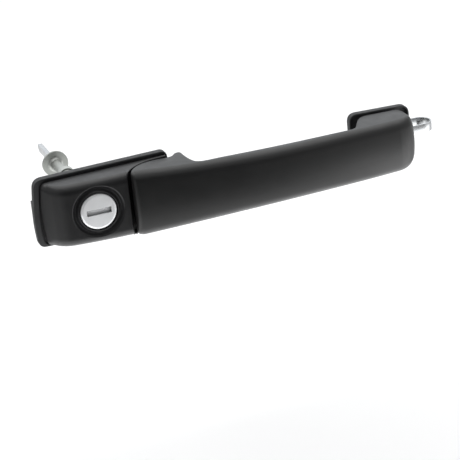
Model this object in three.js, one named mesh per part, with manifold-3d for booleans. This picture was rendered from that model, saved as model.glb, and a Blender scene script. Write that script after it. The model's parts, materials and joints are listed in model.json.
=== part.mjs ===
// Exterior car door handle, right-hand front door: lock housing, key lock, pull grip and hinge end.
// Millimetres. +X runs along the handle from the lock end to the hinge end, +Y points into the door,
// +Z is up. y = 0 is the outer surface of the door skin, and the lock's axis is x = LOCK_X, z = 0.
import * as THREE from 'three';
import * as BufferGeometryUtils from 'three/addons/utils/BufferGeometryUtils.js';
import Module from 'manifold-3d';

const wasm = await Module();
wasm.setup();

// ---------------------------------------------------------------- driving dimensions
const GAP = 0.3;                    // clearance between pieces that sit against each other
const FAR = 60;                     // reach of a cutter that has to pass right through

// seam between the lock housing and the grip, seen from above: an arc on the grip's end, and an ellipse
// about the same centre on the cover, so the gap widens towards the front
const SEAM_X = 16;
const SEAM_Y = -32;
const SEAM_GRIP_RADIUS = 23.1;
const SEAM_COVER_X = 25.3;
const SEAM_COVER_Y = 24.1;
const SEAM_EASE = 1.5;

// lock housing cover
const COVER = { left: -55.5, leftFront: -47.5, right: 21, rim: -5.7, ramp: -7.9, face: -22.7,
  crownX: -12, crownRadius: 320, cornerRadius: 7, edgeRadius: 5.2, backRadius: 0.8, wall: 2.2, draft: 0.02,
  top: 18.9, topSlope: 0.018, bottom: 20.2, bottomSlope: 0.015, bossFront: -20.6, bossBack: -13.4 };

// the cover's left side is a shallow bow: it leans in by lean towards its two eased corners
const COVER_SIDE = { topStart: 4, bottomStart: -6, lean: 0.9, topRadius: 4, bottomRadius: 2.2 };

// lip on the cover that closes the lower end of the seam, about the seam's centre
const SEAM_LIP = { inner: 23.45, outer: 25.4, from: 151, to: 95, bottom: -19.3, top: -18.1 };

// lock
const LOCK_X = -26;
const LOCK_FACE_Y = -22.7;
const CAP = { radius: 10.8, wall: 1.15, plate: 1.4, back: -12.2, edge: 1.2 };
const KEY_SLOT = { width: 14.6, height: 3.5 };
const LOCK_BORE = 11.25;
const DISH = { crest: 11.75, flank: 13, floor: 13.6, outer: 15.7, depth: 1.8 };
const BARREL = { radius: 10.9, flange: 12.6, front: -11.8, flangeBack: -9.6, step: 18, tail: 8.4, back: 27,
  bore: 7.9, fit: 6.9 };
const PLUG = { radius: 6.6, front: -14.2, flange: 8.7, flangeBack: -12.5, back: 25, neck: 4.2,
  neckEnd: 32.6, tang: 5, tangEnd: 40 };
const KEYWAY = { width: 9.2, height: 2.7, end: 17 };
const WAFER = { count: 6, first: -7.5, pitch: 4, thick: 0.7, length: 13, height: 8.4,
  windowLength: 9.4, windowHeight: 3.3, standOut: 0.9, slack: 0.2 };
const SHUTTER = { y: -20.9, thick: 0.6, halfWidth: 7.8, below: -2.3, pivotY: -20.1, pivotZ: 3.4,
  tube: 0.95, pin: 0.5, pinHalf: 8.4 };
const TAIL = { hubFront: 33, collar: 43, hubBack: 48.3, hub: 5.6, hubStep: 0.9, neck: 3.2, fillet: 1.2,
  discFront: 69.5, disc: 8.1, discBack: 71, tip: 105.5, lowerTip: 103, bladeWidth: 4.4, bladeThick: 2.8,
  bladeStart: 66, slack: 0.25 };
const CLIP = { front: 10.5, back: 11.2, radius: 13, grooveFront: 10.2, grooveBack: 11.5, grooveDepth: 1.1,
  mouth: 16 };
const FACE_SEAL = { inner: 11.2, outer: 12.5, front: -13.1, back: -12.1 };
const CIRCLIP = { radius: 8, thick: 0.9, gap: 3.2 };

// gaskets and the carrier's flange
const GASKET = { thick: 3.4, lip: 1.5 };
const GASKET_RIM = { top: 1.9, bottom: 1.9, left: 3.6, radius: 5.5 };
const GASKET_WELL = { top: 0.9, bottom: 0.8, left: 0.5, radius: 5 };
const FLANGE_RIM = { top: -1, bottom: -1, left: -1.4, radius: 5 };
const RIM_BOW = { topIn: 1.6, out: 1.1, z: -5, radius: 9, bottomIn: 0.2, cornerShare: 0.75 };
const HINGE_GASKET = { left: 137.7, right: 176.6, front: -4.4, web: -1.6, lip: 0.9, radius: 5.5,
  topLeft: 18.3, topRight: 17.2, bottomLeft: -17, bottomRight: -15.2, openingRight: 168 };
const FLANGE = { front: -4.9, back: -3.7 };
const CARRIER = { front: -9.3, left: -48, right: 0.2, halfHeight: 13.6, sleeve: 13.2, sleeveBack: 9 };
const EDGE_BOSS = { left: -58.2, right: -44, front: 0.4, back: 6.6, bottom: -11.4, top: 4.4,
  hole: 2.2, holeZ: -6.4, depth: 9, ribLeft: -48.2 };
const SCREW = { x: [-45, -7.5], z: [11, -11], shank: 1.5, head: 2.9, tip: -15.4, seat: -5.9, top: -3.9,
  socket: 1.2, socketFloor: -5.1, pocket: -6.2, boss: 3.2, bossBack: -9.8, holeFront: -16 };
const BUFFER = { x: 17.4, z: 12, stem: 1.6, head: 2.4, headThick: 0.65 };

// grip
const GRIP = { right: 172.2, bowX: 85, bowRadius: 580, front: -33, crown: 2.4, back: -23.4,
  edgeRadius: 5, finEdge: 1, backEdge: 2.9, footEdge: 1.4, endBack: -5.2, wall: 2.4, frontCorner: 3,
  backCorner: 4.5, endLength: 13, endDepth: 14 };
const GRIP_TOP = { level: 17.2, rise: 2.2, reach: 100, drop: 0.02, leftCorner: 2, endRadius: 5 };
const GRIP_BOTTOM = { level: 15.3, rise: 4.3, reach: 125, drop: 0, leftCorner: 4, endRadius: 11 };
const FIN = { foot: 25.3, footY: -6.9, tip: 29.8, y: -3.3, right: 30.9, rightY: -5.5 };
const DIP = { x: 38.5, y: -24.2, right: 51 };
const FOOT = { left: 130.5, back: 148 };
const GRIP_STATIONS = [8, 20, 34, 50, 68, 85, 102, 120, 135, 148];
const WINDOW = { left: 52, right: 128, halfHeight: 11, coverThick: 2.1 };
const CORE = { left: 17, right: 151, front: -27.9, back: -26.9, halfHeight: 5 };
const GRIP_SCREWS = [{ name: 'arm_screw_1', x: 19.8 }, { name: 'arm_screw_2', x: 26.2 },
  { name: 'knuckle_screw', x: 149 }];
const GRIP_SCREW = { shank: 1.6, head: 2.8, tip: -28.3, seat: -23.6, top: -21.8, socket: 1.2,
  socketDepth: 1 };

// pull arm, release lever and what they turn on
const ARM = { left: 13.8, right: 16.4, bottom: -4.5, top: 5.5, end: 29.5, endTop: 7.6, footBack: -23.8,
  footRight: 29.6 };
const ARM_PASSAGE = { left: 13.1, right: 18.7, halfHeight: 7 };
const LEVER = { y: 19, z: -13, reach: 16, lean: 24, outReach: 14, left: 9.2, plateRight: 11.6,
  hubRight: 14, hub: 3.6, nosePin: 1.5, noseRight: 17.4, halfWidth: 2.6, outEnd: 3.5, bossHalf: 3.8,
  bossOver: 4 };
const LEVER_PIN = { radius: 1.8, left: 6.2, right: 21.4, head: 3, headThick: 1.4 };
const EAR = { left: 7, leftEnd: 8.8, right: 18.8, rightEnd: 20.5, bottom: -17.2, top: -8.6, back: 23.6 };
const ADJUSTER = { x: 13.4, radius: 2.3, front: 12.5, back: 31, boss: [17, 21.8], nut: [22.1, 25],
  head: 3.5, headThick: 2, nutRadius: 4.2 };

// hinge end
const HINGE = { x: 160, y: 8, pin: 2.2, pinHalf: 10.6, bush: 3.2, knuckle: 4.7, knuckleBottom: -6.6,
  knuckleTop: 1.8, postHalf: 3.4, footLeft: 143, fit: 0.12 };
const BRACKET = { left: 150.5, right: 171, front: 1.5, bridge: 13.1, back: 15, cheek: 7.1, half: 9.6 };
const STRAP = { width: 5.5, z: -2.5, thick: 1, rear: 15.9, front: 2.4, turnX: 189.2, freeEnd: 178.2,
  start: 153, rivetX: 159, rivet: 1.7 };

// coil springs: coil radius, pitch, number of turns and wire diameter
const LOCK_COIL = { radius: 5.5, pitch: 1.05, turns: 2.6, wire: 0.8, start: 29 };
const LEVER_COIL = { radius: 2.9, pitch: 1.15, turns: 3, wire: 0.8, start: 14.75 };
const GRIP_COIL = { radius: 3.6, pitch: 1.1, turns: 3.4, wire: 0.9, start: 2.6 };

// number of flats on round pieces
const FINE = 28;
const MEDIUM = 18;
const COARSE = 10;
const HEXAGON = 6;

// ---------------------------------------------------------------- materials
function material(color, roughness, metalness) {
  return new THREE.MeshStandardMaterial({ color, roughness, metalness });
}
const blackPlastic = () => material(0x1c1d1f, 0.5, 0);
const innerPlastic = () => material(0x232427, 0.6, 0);
const gasketRubber = () => material(0x2b2c2e, 0.85, 0);
const castZinc = () => material(0x9fa3a2, 0.45, 0.9);
const satinCap = () => material(0xc8cbce, 0.35, 0.9);
const springSteel = () => material(0xb9bcc0, 0.3, 1);
const blackCasting = () => material(0x1a1b1c, 0.5, 0.3);
const blackSteel = () => material(0x3a3b3d, 0.45, 0.9);
const brass = () => material(0xb08d4a, 0.35, 1);
const whitePlastic = () => material(0xd9d8d0, 0.55, 0);

// ---------------------------------------------------------------- solids and booleans
function solid(geometry) {
  const bare = geometry.clone();
  bare.deleteAttribute('normal');
  bare.deleteAttribute('uv');
  const merged = BufferGeometryUtils.mergeVertices(bare, 1e-4);
  const vertProperties = new Float32Array(merged.attributes.position.array);
  const triVerts = new Uint32Array(merged.index.array);
  return new wasm.Manifold(new wasm.Mesh({ numProp: 3, vertProperties, triVerts }));
}

function piece(name, body, look) {
  const mesh = body.getMesh();
  const geometry = new THREE.BufferGeometry();
  geometry.setAttribute('position', new THREE.BufferAttribute(new Float32Array(mesh.vertProperties), 3));
  geometry.setIndex(new THREE.BufferAttribute(new Uint32Array(mesh.triVerts), 1));
  geometry.computeVertexNormals();
  const result = new THREE.Mesh(geometry, look);
  result.name = name;
  return result;
}

function box(x0, x1, y0, y1, z0, z1) {
  const geometry = new THREE.BoxGeometry(x1 - x0, y1 - y0, z1 - z0);
  geometry.translate((x0 + x1) / 2, (y0 + y1) / 2, (z0 + z1) / 2);
  return solid(geometry);
}

// a round bar along Y, whose own axis is three.js's cylinder axis
function barY(x, z, radius, y0, y1, flats = MEDIUM) {
  const geometry = new THREE.CylinderGeometry(radius, radius, y1 - y0, flats);
  geometry.translate(x, (y0 + y1) / 2, z);
  return solid(geometry);
}

function barX(y, z, radius, x0, x1, flats = MEDIUM) {
  const geometry = new THREE.CylinderGeometry(radius, radius, x1 - x0, flats);
  geometry.rotateZ(-Math.PI / 2);
  geometry.translate((x0 + x1) / 2, y, z);
  return solid(geometry);
}

function barZ(x, y, radius, z0, z1, flats = MEDIUM) {
  const geometry = new THREE.CylinderGeometry(radius, radius, z1 - z0, flats);
  geometry.rotateX(Math.PI / 2);
  geometry.translate(x, y, (z0 + z1) / 2);
  return solid(geometry);
}

// a profile of [radius, y] points turned about the lock's axis
function turned(profile, flats = FINE) {
  const points = profile.map(([radius, y]) => new THREE.Vector2(radius, y));
  const geometry = new THREE.LatheGeometry(points, flats);
  geometry.translate(LOCK_X, 0, 0);
  return solid(geometry);
}

// a closed outline of [x, y, corner radius] points; each corner is eased by a quadratic curve
function easedShape(corners) {
  const shape = new THREE.Shape();
  corners.forEach(([x, y, radius], i) => {
    const here = new THREE.Vector2(x, y);
    const before = new THREE.Vector2(...corners.at(i - 1).slice(0, 2));
    const after = new THREE.Vector2(...corners[(i + 1) % corners.length].slice(0, 2));
    const entry = here.clone().add(before.sub(here).setLength(radius));
    const exit = here.clone().add(after.sub(here).setLength(radius));
    if (i === 0) shape.moveTo(entry.x, entry.y);
    else shape.lineTo(entry.x, entry.y);
    shape.quadraticCurveTo(x, y, exit.x, exit.y);
  });
  shape.closePath();
  return shape;
}

// a shape drawn in (x, z), reaching from y0 to y1
function slabY(shape, y0, y1, curveSegments = 6) {
  const geometry = new THREE.ExtrudeGeometry(shape, { depth: y1 - y0, bevelEnabled: false, curveSegments });
  geometry.rotateX(Math.PI / 2);
  geometry.translate(0, y1, 0);
  return solid(geometry);
}

// a shape drawn in (y, z), reaching from x0 to x1
function slabX(shape, x0, x1, curveSegments = 6) {
  const geometry = new THREE.ExtrudeGeometry(shape, { depth: x1 - x0, bevelEnabled: false, curveSegments });
  const toX = new THREE.Matrix4().makeBasis(
    new THREE.Vector3(0, 1, 0), new THREE.Vector3(0, 0, 1), new THREE.Vector3(1, 0, 0));
  geometry.applyMatrix4(toX);
  geometry.translate(x0, 0, 0);
  return solid(geometry);
}

// a shape drawn in (x, y), reaching from z0 to z1
function slabZ(shape, z0, z1, curveSegments = 6) {
  const geometry = new THREE.ExtrudeGeometry(shape, { depth: z1 - z0, bevelEnabled: false, curveSegments });
  geometry.translate(0, 0, z0);
  return solid(geometry);
}

// a coil spring about the local Z axis, starting at z = 0
class Coil extends THREE.Curve {
  constructor(radius, pitch, turns) {
    super();
    this.radius = radius;
    this.pitch = pitch;
    this.turns = turns;
  }

  getPoint(t, target = new THREE.Vector3()) {
    const turned = t * this.turns;
    const angle = turned * 2 * Math.PI;
    return target.set(this.radius * Math.cos(angle), this.radius * Math.sin(angle), this.pitch * turned);
  }
}

function coilGeometry({ radius, pitch, turns, wire }) {
  const section = new THREE.Shape();
  section.absarc(0, 0, wire / 2, 0, 2 * Math.PI);
  const extrudePath = new Coil(radius, pitch, turns);
  const steps = Math.round(turns * COARSE);
  return new THREE.ExtrudeGeometry(section, { steps, curveSegments: 3, extrudePath });
}

// ---------------------------------------------------------------- moulded forms
// A moulded form is lofted along X. Its front, back, top and bottom edges are drawn as paths whose x
// always grows; each cross-section is a rectangle between the four, with rounded corners.
const OUTSIDE = { edgeSteps: 5, cornerSteps: 3, faceSteps: 2 };
const INSIDE = { edgeSteps: 2, cornerSteps: 1, faceSteps: 2 };

const mix = (a, b, t) => a + (b - a) * t;
const clamp01 = (t) => Math.min(1, Math.max(0, t));

// the value of an edge's point list at any x
function readEdge(points, x) {
  let i = 1;
  while (i < points.length - 1 && points[i].x < x) i++;
  const [a, b] = [points[i - 1], points[i]];
  return b.x > a.x ? mix(a.y, b.y, clamp01((x - a.x) / (b.x - a.x))) : b.y;
}

// one rounded corner of a section; the two signs say which way its centre lies from the corner
function sectionCorner(y, z, ySign, zSign, yRadius, zRadius, steps, startsUpright) {
  const corner = [];
  for (let i = 0; i <= steps; i++) {
    const turn = (startsUpright ? i : steps - i) / steps * Math.PI / 2;
    corner.push([y + ySign * yRadius * (1 - Math.cos(turn)), z + zSign * zRadius * (1 - Math.sin(turn))]);
  }
  return corner;
}

function roundedSection(form, x, detail) {
  const { inset } = form;
  const read = (edge) => readEdge(form.edges[edge], x);
  const nearby = (edge) => [-inset, 0, inset].map((shift) => readEdge(form.edges[edge], x + shift));
  const front = Math.max(...nearby('front')) + inset;
  const back = Math.max(front + 0.2, Math.min(...nearby('back')) - inset);
  const top = Math.max(1, read('top') - inset);
  const bottom = Math.min(-1, read('bottom') + inset);
  const frontRadius = Math.max(0.1, Math.min(form.frontRadius(x) - inset, (back - front) * 0.7));
  const backRadius = Math.max(0.05, Math.min(form.backRadius(x), (back - front) * 0.26));
  const lift = form.draft * (back - front);
  const height = Math.min(frontRadius, (top - bottom) * 0.4);
  const points = [
    ...sectionCorner(back, bottom, -1, 1, backRadius, backRadius, detail.cornerSteps, false),
    ...sectionCorner(back, top, -1, -1, backRadius, backRadius, detail.cornerSteps, true),
    ...sectionCorner(front, top - lift, 1, -1, frontRadius, height, detail.cornerSteps, false),
  ];
  const faceTop = top - lift - height;
  const faceBottom = bottom + lift + height;
  for (let i = 1; i < detail.faceSteps; i++) {
    points.push([front, mix(faceTop, faceBottom, i / detail.faceSteps)]);
  }
  points.push(...sectionCorner(front, bottom + lift, 1, 1, frontRadius, height, detail.cornerSteps, true));
  const middle = (faceTop + faceBottom) / 2;
  const half = (top - bottom) / 2;
  const depth = back - front;
  return points.map(([y, z]) => {
    const crown = form.crown * (1 - ((z - middle) / half) ** 2) * clamp01(1 - (y - front) / (0.8 * depth));
    return new THREE.Vector3(x, y - crown, z);
  });
}

// the cylinder's rows become the stations and its sides become the points of each section
function mouldedForm(form, detail) {
  const stations = [...new Set(Object.values(form.edges).flat().map((point) => point.x))]
    .filter((x) => x > form.left && x < form.right).sort((a, b) => a - b);
  const kept = stations.filter((x, i) => i === 0 || x - stations[i - 1] > 0.3);
  const sections = [form.left, ...kept, form.right].map((x) => roundedSection(form, x, detail));
  const sides = sections[0].length;
  const rows = sections.length - 1;
  const geometry = new THREE.CylinderGeometry(1, 1, rows, sides, rows);
  const position = geometry.attributes.position;
  for (let i = 0; i < position.count; i++) {
    const row = Math.round(position.getY(i) + rows / 2);
    const angle = Math.atan2(position.getX(i), position.getZ(i)) / (2 * Math.PI);
    const onAxis = Math.hypot(position.getX(i), position.getZ(i)) < 0.5;
    const section = sections[row];
    const target = new THREE.Vector3();
    if (onAxis) section.forEach((point) => target.addScaledVector(point, 1 / sides));
    else target.copy(section[(Math.round(angle * sides) + sides) % sides]);
    position.setXYZ(i, target.x, target.y, target.z);
  }
  return solid(geometry);
}

// ---------------------------------------------------------------- lock housing cover
// front face of the cover: a shallow crown along X
const coverFront = (x) => COVER.face + (x - COVER.crownX) ** 2 / (2 * COVER.crownRadius);
const coverTop = (x) => COVER.top + COVER.topSlope * x;
const coverBottom = (x) => COVER.bottom + COVER.bottomSlope * x;

function coverForm(inset, back, detail) {
  const { left, leftFront, right, rim, ramp, cornerRadius } = COVER;
  const start = rim - 0.6;
  const { topStart, bottomStart, lean, topRadius, bottomRadius } = COVER_SIDE;
  const seamAngle = Math.PI - Math.asin((COVER.face - SEAM_Y) / SEAM_COVER_Y);
  const faceEnd = SEAM_X + SEAM_COVER_X * Math.cos(seamAngle);
  const front = new THREE.Path();
  const side = new THREE.Vector2(left - leftFront, start - coverFront(leftFront)).setLength(cornerRadius);
  front.moveTo(left, start);
  front.lineTo(leftFront + side.x, coverFront(leftFront) + side.y);
  front.quadraticCurveTo(leftFront, coverFront(leftFront),
    leftFront + cornerRadius, coverFront(leftFront + cornerRadius));
  for (const x of [-36, -26, -16, faceEnd]) front.lineTo(x, coverFront(x));
  front.absellipse(SEAM_X, SEAM_Y, SEAM_COVER_X, SEAM_COVER_Y, seamAngle, Math.PI / 2, true);
  front.lineTo(right, ramp);
  const top = new THREE.Path();
  top.moveTo(left, topStart);
  top.lineTo(left + lean, coverTop(left) - topRadius);
  top.quadraticCurveTo(left + 1.4 * lean, coverTop(left),
    left + lean + topRadius, coverTop(left + topRadius));
  top.lineTo(right, coverTop(right));
  const bottom = new THREE.Path();
  bottom.moveTo(left, bottomStart);
  bottom.lineTo(left + lean, bottomRadius - coverBottom(left));
  bottom.quadraticCurveTo(left + 1.4 * lean, -coverBottom(left),
    left + lean + bottomRadius, -coverBottom(left + bottomRadius));
  bottom.lineTo(right, -coverBottom(right));
  const edges = {
    front: front.getPoints(detail.edgeSteps),
    back: [new THREE.Vector2(left, back + inset), new THREE.Vector2(right, back + inset)],
    top: top.getPoints(detail.edgeSteps),
    bottom: bottom.getPoints(detail.edgeSteps),
  };
  const frontRadius = (x) => mix(COVER.edgeRadius, COVER.backRadius, clamp01((x - faceEnd) / SEAM_EASE));
  return mouldedForm({ edges, inset, left: left + inset, right: inset > 0 ? SEAM_X - 3 : right,
    frontRadius, backRadius: () => COVER.backRadius, draft: COVER.draft, crown: 0 }, detail);
}

function armPassage(y0, y1) {
  return box(ARM_PASSAGE.left, ARM_PASSAGE.right, y0, y1, -ARM_PASSAGE.halfHeight, ARM_PASSAGE.halfHeight);
}

function seamLip() {
  const { inner, outer, from, to, bottom, top } = SEAM_LIP;
  const [start, end] = [from, to].map(THREE.MathUtils.degToRad);
  const shape = new THREE.Shape();
  shape.absarc(SEAM_X, SEAM_Y, outer, start, end, true);
  shape.absarc(SEAM_X, SEAM_Y, inner, end, start, false);
  shape.closePath();
  return slabZ(shape, bottom, top, 8);
}

function coverPiece() {
  const boss = barY(LOCK_X, 0, DISH.outer + 0.7, COVER.bossFront, COVER.bossBack, FINE);
  const dish = turned([
    [DISH.crest, -FAR], [DISH.outer, -FAR], [DISH.outer, COVER.face - 0.5],
    [DISH.floor, COVER.face + DISH.depth], [DISH.flank, COVER.face + DISH.depth],
    [DISH.crest, COVER.face - 0.5], [DISH.crest, -FAR]]);
  const hollow = coverForm(COVER.wall, COVER.rim + 1, INSIDE);
  let body = coverForm(0, COVER.rim, OUTSIDE).subtract(hollow).add(boss).add(seamLip());
  for (let i = 0; i < SCREW.x.length; i++) {
    body = body.add(barY(SCREW.x[i], SCREW.z[i], SCREW.boss, COVER.face + 5, SCREW.bossBack, COARSE));
    body = body.subtract(barY(SCREW.x[i], SCREW.z[i], SCREW.shank + GAP, SCREW.holeFront, 0, COARSE));
  }
  for (const side of [-1, 1]) {
    body = body.subtract(barY(BUFFER.x, side * BUFFER.z, BUFFER.stem + 0.1, -FAR, 0, COARSE));
  }
  body = body.subtract(barY(LOCK_X, 0, LOCK_BORE, -FAR, 0, FINE)).subtract(dish);
  return piece('lock_housing_cover', body.subtract(armPassage(-FAR, 0)), blackPlastic());
}

// ---------------------------------------------------------------- flange, gaskets and carrier
// outline in (x, z) around the cover's rim, grown outwards by the given amounts; its left side is bowed
function rimOutline({ top, bottom, left, radius }) {
  const x = COVER.left - left;
  const right = COVER.right + top;
  const corner = radius * RIM_BOW.cornerShare;
  return easedShape([
    [x + RIM_BOW.topIn, coverTop(x) + top, radius],
    [x - RIM_BOW.out, RIM_BOW.z, RIM_BOW.radius],
    [x + RIM_BOW.bottomIn, -coverBottom(x) - bottom, corner],
    [right, -coverBottom(right) - bottom, corner],
    [right, coverTop(right) + top, corner]]);
}

function lockGasket() {
  const outline = rimOutline(GASKET_RIM);
  let body = slabY(outline, -GASKET.thick, 0);
  const lip = slabY(outline, -GASKET.thick - GASKET.lip, -GASKET.thick + 0.1);
  body = body.add(lip.subtract(slabY(rimOutline(GASKET_WELL), -FAR, FAR)));
  body = body.subtract(barY(LOCK_X, 0, CARRIER.sleeve + GAP, -FAR, FAR, FINE));
  body = body.subtract(box(EAR.left - GAP, EAR.rightEnd + GAP, -FAR, FAR, EAR.bottom - GAP, ARM.top + 3));
  body = body.subtract(box(EDGE_BOSS.ribLeft - 1, LOCK_X, -FAR, FAR,
    EDGE_BOSS.bottom - 1, EDGE_BOSS.top + 1));
  return piece('lock_gasket', body, gasketRubber());
}

function carrierPiece() {
  let body = slabY(rimOutline(FLANGE_RIM), FLANGE.front, FLANGE.back);
  body = body.add(box(CARRIER.left, CARRIER.right, CARRIER.front, FLANGE.front + 0.1,
    -CARRIER.halfHeight, CARRIER.halfHeight));
  body = body.add(barY(LOCK_X, 0, CARRIER.sleeve, CARRIER.front, CARRIER.sleeveBack, FINE));
  const rib = box(EDGE_BOSS.ribLeft, LOCK_X, FLANGE.back - 0.5, CARRIER.sleeveBack,
    EDGE_BOSS.bottom, EDGE_BOSS.top);
  const boss = box(EDGE_BOSS.left, EDGE_BOSS.right, EDGE_BOSS.front, EDGE_BOSS.back,
    EDGE_BOSS.bottom, EDGE_BOSS.top);
  body = body.add(rib).add(boss);
  for (const [x0, x1] of [[EAR.left, EAR.leftEnd], [EAR.right, EAR.rightEnd]]) {
    body = body.add(box(x0, x1, FLANGE.front, EAR.back, EAR.bottom, EAR.top));
  }
  body = body.subtract(barY(LOCK_X, 0, BARREL.radius + GAP, -FAR, FAR, FINE));
  body = body.subtract(barX(LEVER.y, LEVER.z, LEVER_PIN.radius + 0.1, 0, FAR, COARSE));
  const bossY = (EDGE_BOSS.front + EDGE_BOSS.back) / 2;
  body = body.subtract(barX(bossY, EDGE_BOSS.holeZ, EDGE_BOSS.hole,
    EDGE_BOSS.left - 1, EDGE_BOSS.left + EDGE_BOSS.depth, COARSE));
  for (let i = 0; i < SCREW.x.length; i++) {
    body = body.subtract(barY(SCREW.x[i], SCREW.z[i], SCREW.shank + GAP, -FAR, FAR, COARSE));
    body = body.subtract(barY(SCREW.x[i], SCREW.z[i], SCREW.head + GAP, SCREW.pocket, FAR, COARSE));
  }
  return piece('lock_carrier', body.subtract(armPassage(-FAR, 0)), blackCasting());
}

// cover screws enter from the back of the carrier
function coverScrew(i) {
  const [x, z] = [SCREW.x[i], SCREW.z[i]];
  const shank = barY(x, z, SCREW.shank, SCREW.tip, SCREW.seat + 0.1, COARSE);
  const head = barY(x, z, SCREW.head, SCREW.seat, SCREW.top, COARSE);
  const socket = barY(x, z, SCREW.socket, SCREW.socketFloor, 0, HEXAGON);
  return piece(`cover_screw_${i + 1}`, shank.add(head).subtract(socket), blackSteel());
}

function gripBuffer(name, side) {
  const headBack = COVER.ramp - 0.05;
  const stem = barY(BUFFER.x, side * BUFFER.z, BUFFER.stem, headBack - 0.15, FLANGE.front - GAP, COARSE);
  const head = barY(BUFFER.x, side * BUFFER.z, BUFFER.head, headBack - BUFFER.headThick, headBack, COARSE);
  return piece(name, stem.add(head), gasketRubber());
}

// ---------------------------------------------------------------- lock
function barrelPiece() {
  const groove = BARREL.radius - CLIP.grooveDepth;
  const body = turned([
    [BARREL.fit, BARREL.front], [BARREL.flange, BARREL.front], [BARREL.flange, BARREL.flangeBack],
    [BARREL.radius, BARREL.flangeBack], [BARREL.radius, CLIP.grooveFront], [groove, CLIP.grooveFront],
    [groove, CLIP.grooveBack], [BARREL.radius, CLIP.grooveBack], [BARREL.radius, BARREL.step],
    [BARREL.tail, BARREL.step], [BARREL.tail, BARREL.back], [BARREL.fit, BARREL.back],
    [BARREL.fit, BARREL.step], [BARREL.bore, BARREL.step - 1], [BARREL.bore, -9.5], [BARREL.fit, -9.5],
    [BARREL.fit, BARREL.front]]);
  return piece('lock_barrel_housing', body, castZinc());
}

function barrelClip() {
  const inner = BARREL.radius - 0.8;
  const ring = turned([[inner, CLIP.front], [CLIP.radius, CLIP.front], [CLIP.radius, CLIP.back],
    [inner, CLIP.back], [inner, CLIP.front]], MEDIUM);
  const mouth = box(LOCK_X - CLIP.mouth / 2, LOCK_X + CLIP.mouth / 2, 0, FAR, -20, -3);
  return piece('barrel_retaining_clip', ring.subtract(mouth), springSteel());
}

function barrelSeal() {
  const { inner, outer, front, back } = FACE_SEAL;
  const ring = turned([[inner, front], [outer, front], [outer, back], [inner, back], [inner, front]], MEDIUM);
  return piece('lock_face_seal', ring, gasketRubber());
}

function faceCap() {
  const inner = CAP.radius - CAP.wall;
  const body = turned([
    [0, LOCK_FACE_Y], [CAP.radius - CAP.edge, LOCK_FACE_Y],
    [CAP.radius - 0.35 * CAP.edge, LOCK_FACE_Y + 0.35 * CAP.edge],
    [CAP.radius, LOCK_FACE_Y + CAP.edge], [CAP.radius, CAP.back], [inner, CAP.back],
    [inner, LOCK_FACE_Y + CAP.plate], [0, LOCK_FACE_Y + CAP.plate]]);
  const slot = box(LOCK_X - KEY_SLOT.width / 2, LOCK_X + KEY_SLOT.width / 2, -FAR, 0,
    -KEY_SLOT.height / 2, KEY_SLOT.height / 2);
  return piece('lock_face_cap', body.subtract(slot), satinCap());
}

const waferY = (i) => WAFER.first + i * WAFER.pitch;

function plugPiece() {
  let body = turned([
    [0, PLUG.front], [PLUG.flange, PLUG.front], [PLUG.flange, PLUG.flangeBack],
    [PLUG.radius, PLUG.flangeBack], [PLUG.radius, PLUG.back], [PLUG.neck, PLUG.back],
    [PLUG.neck, PLUG.neckEnd], [0, PLUG.neckEnd]]);
  const half = PLUG.tang / 2;
  body = body.add(box(LOCK_X - half, LOCK_X + half, PLUG.neckEnd - 1, PLUG.tangEnd, -half, half));
  body = body.subtract(box(LOCK_X - KEYWAY.width / 2, LOCK_X + KEYWAY.width / 2, -FAR, KEYWAY.end,
    -KEYWAY.height / 2, KEYWAY.height / 2));
  for (let i = 0; i < WAFER.count; i++) {
    const y = waferY(i);
    const halfThick = WAFER.thick / 2 + WAFER.slack;
    const halfHeight = WAFER.height / 2 + WAFER.slack;
    body = body.subtract(box(LOCK_X - 8, LOCK_X + 8, y - halfThick, y + halfThick, -halfHeight, halfHeight));
  }
  return piece('lock_plug', body, castZinc());
}

// odd wafers stand out to the left of the plug and even ones to the right, as they do with no key in
function waferPiece(i) {
  const side = i % 2 === 0 ? -1 : 1;
  const y = waferY(i);
  const plug = turned([[0, -FAR], [PLUG.radius, -FAR], [PLUG.radius, FAR], [0, FAR]], FINE);
  const halfLength = WAFER.length / 2;
  let body = box(LOCK_X - halfLength, LOCK_X + halfLength, y - WAFER.thick / 2, y + WAFER.thick / 2,
    -WAFER.height / 2, WAFER.height / 2).intersect(plug);
  body = body.subtract(box(LOCK_X - WAFER.windowLength / 2, LOCK_X + WAFER.windowLength / 2, -FAR, FAR,
    -WAFER.windowHeight / 2, WAFER.windowHeight / 2));
  return piece(`wafer_${i + 1}`, body.translate([side * WAFER.standOut, 0, 0]), brass());
}

function keyShutter() {
  const { y, thick, halfWidth, below, pivotY, pivotZ, tube, pin } = SHUTTER;
  const plate = box(LOCK_X - halfWidth, LOCK_X + halfWidth, y, y + thick, below, pivotZ);
  const sleeve = barX(pivotY, pivotZ, tube, LOCK_X - halfWidth, LOCK_X + halfWidth, COARSE);
  const hole = barX(pivotY, pivotZ, pin + 0.1, LOCK_X - FAR, LOCK_X + FAR, COARSE);
  return piece('key_shutter', plate.add(sleeve).subtract(hole), satinCap());
}

function shutterPin() {
  const { pivotY, pivotZ, pin, pinHalf } = SHUTTER;
  const body = barX(pivotY, pivotZ, pin, LOCK_X - pinHalf, LOCK_X + pinHalf, COARSE);
  return piece('shutter_pin', body, springSteel());
}

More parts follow.
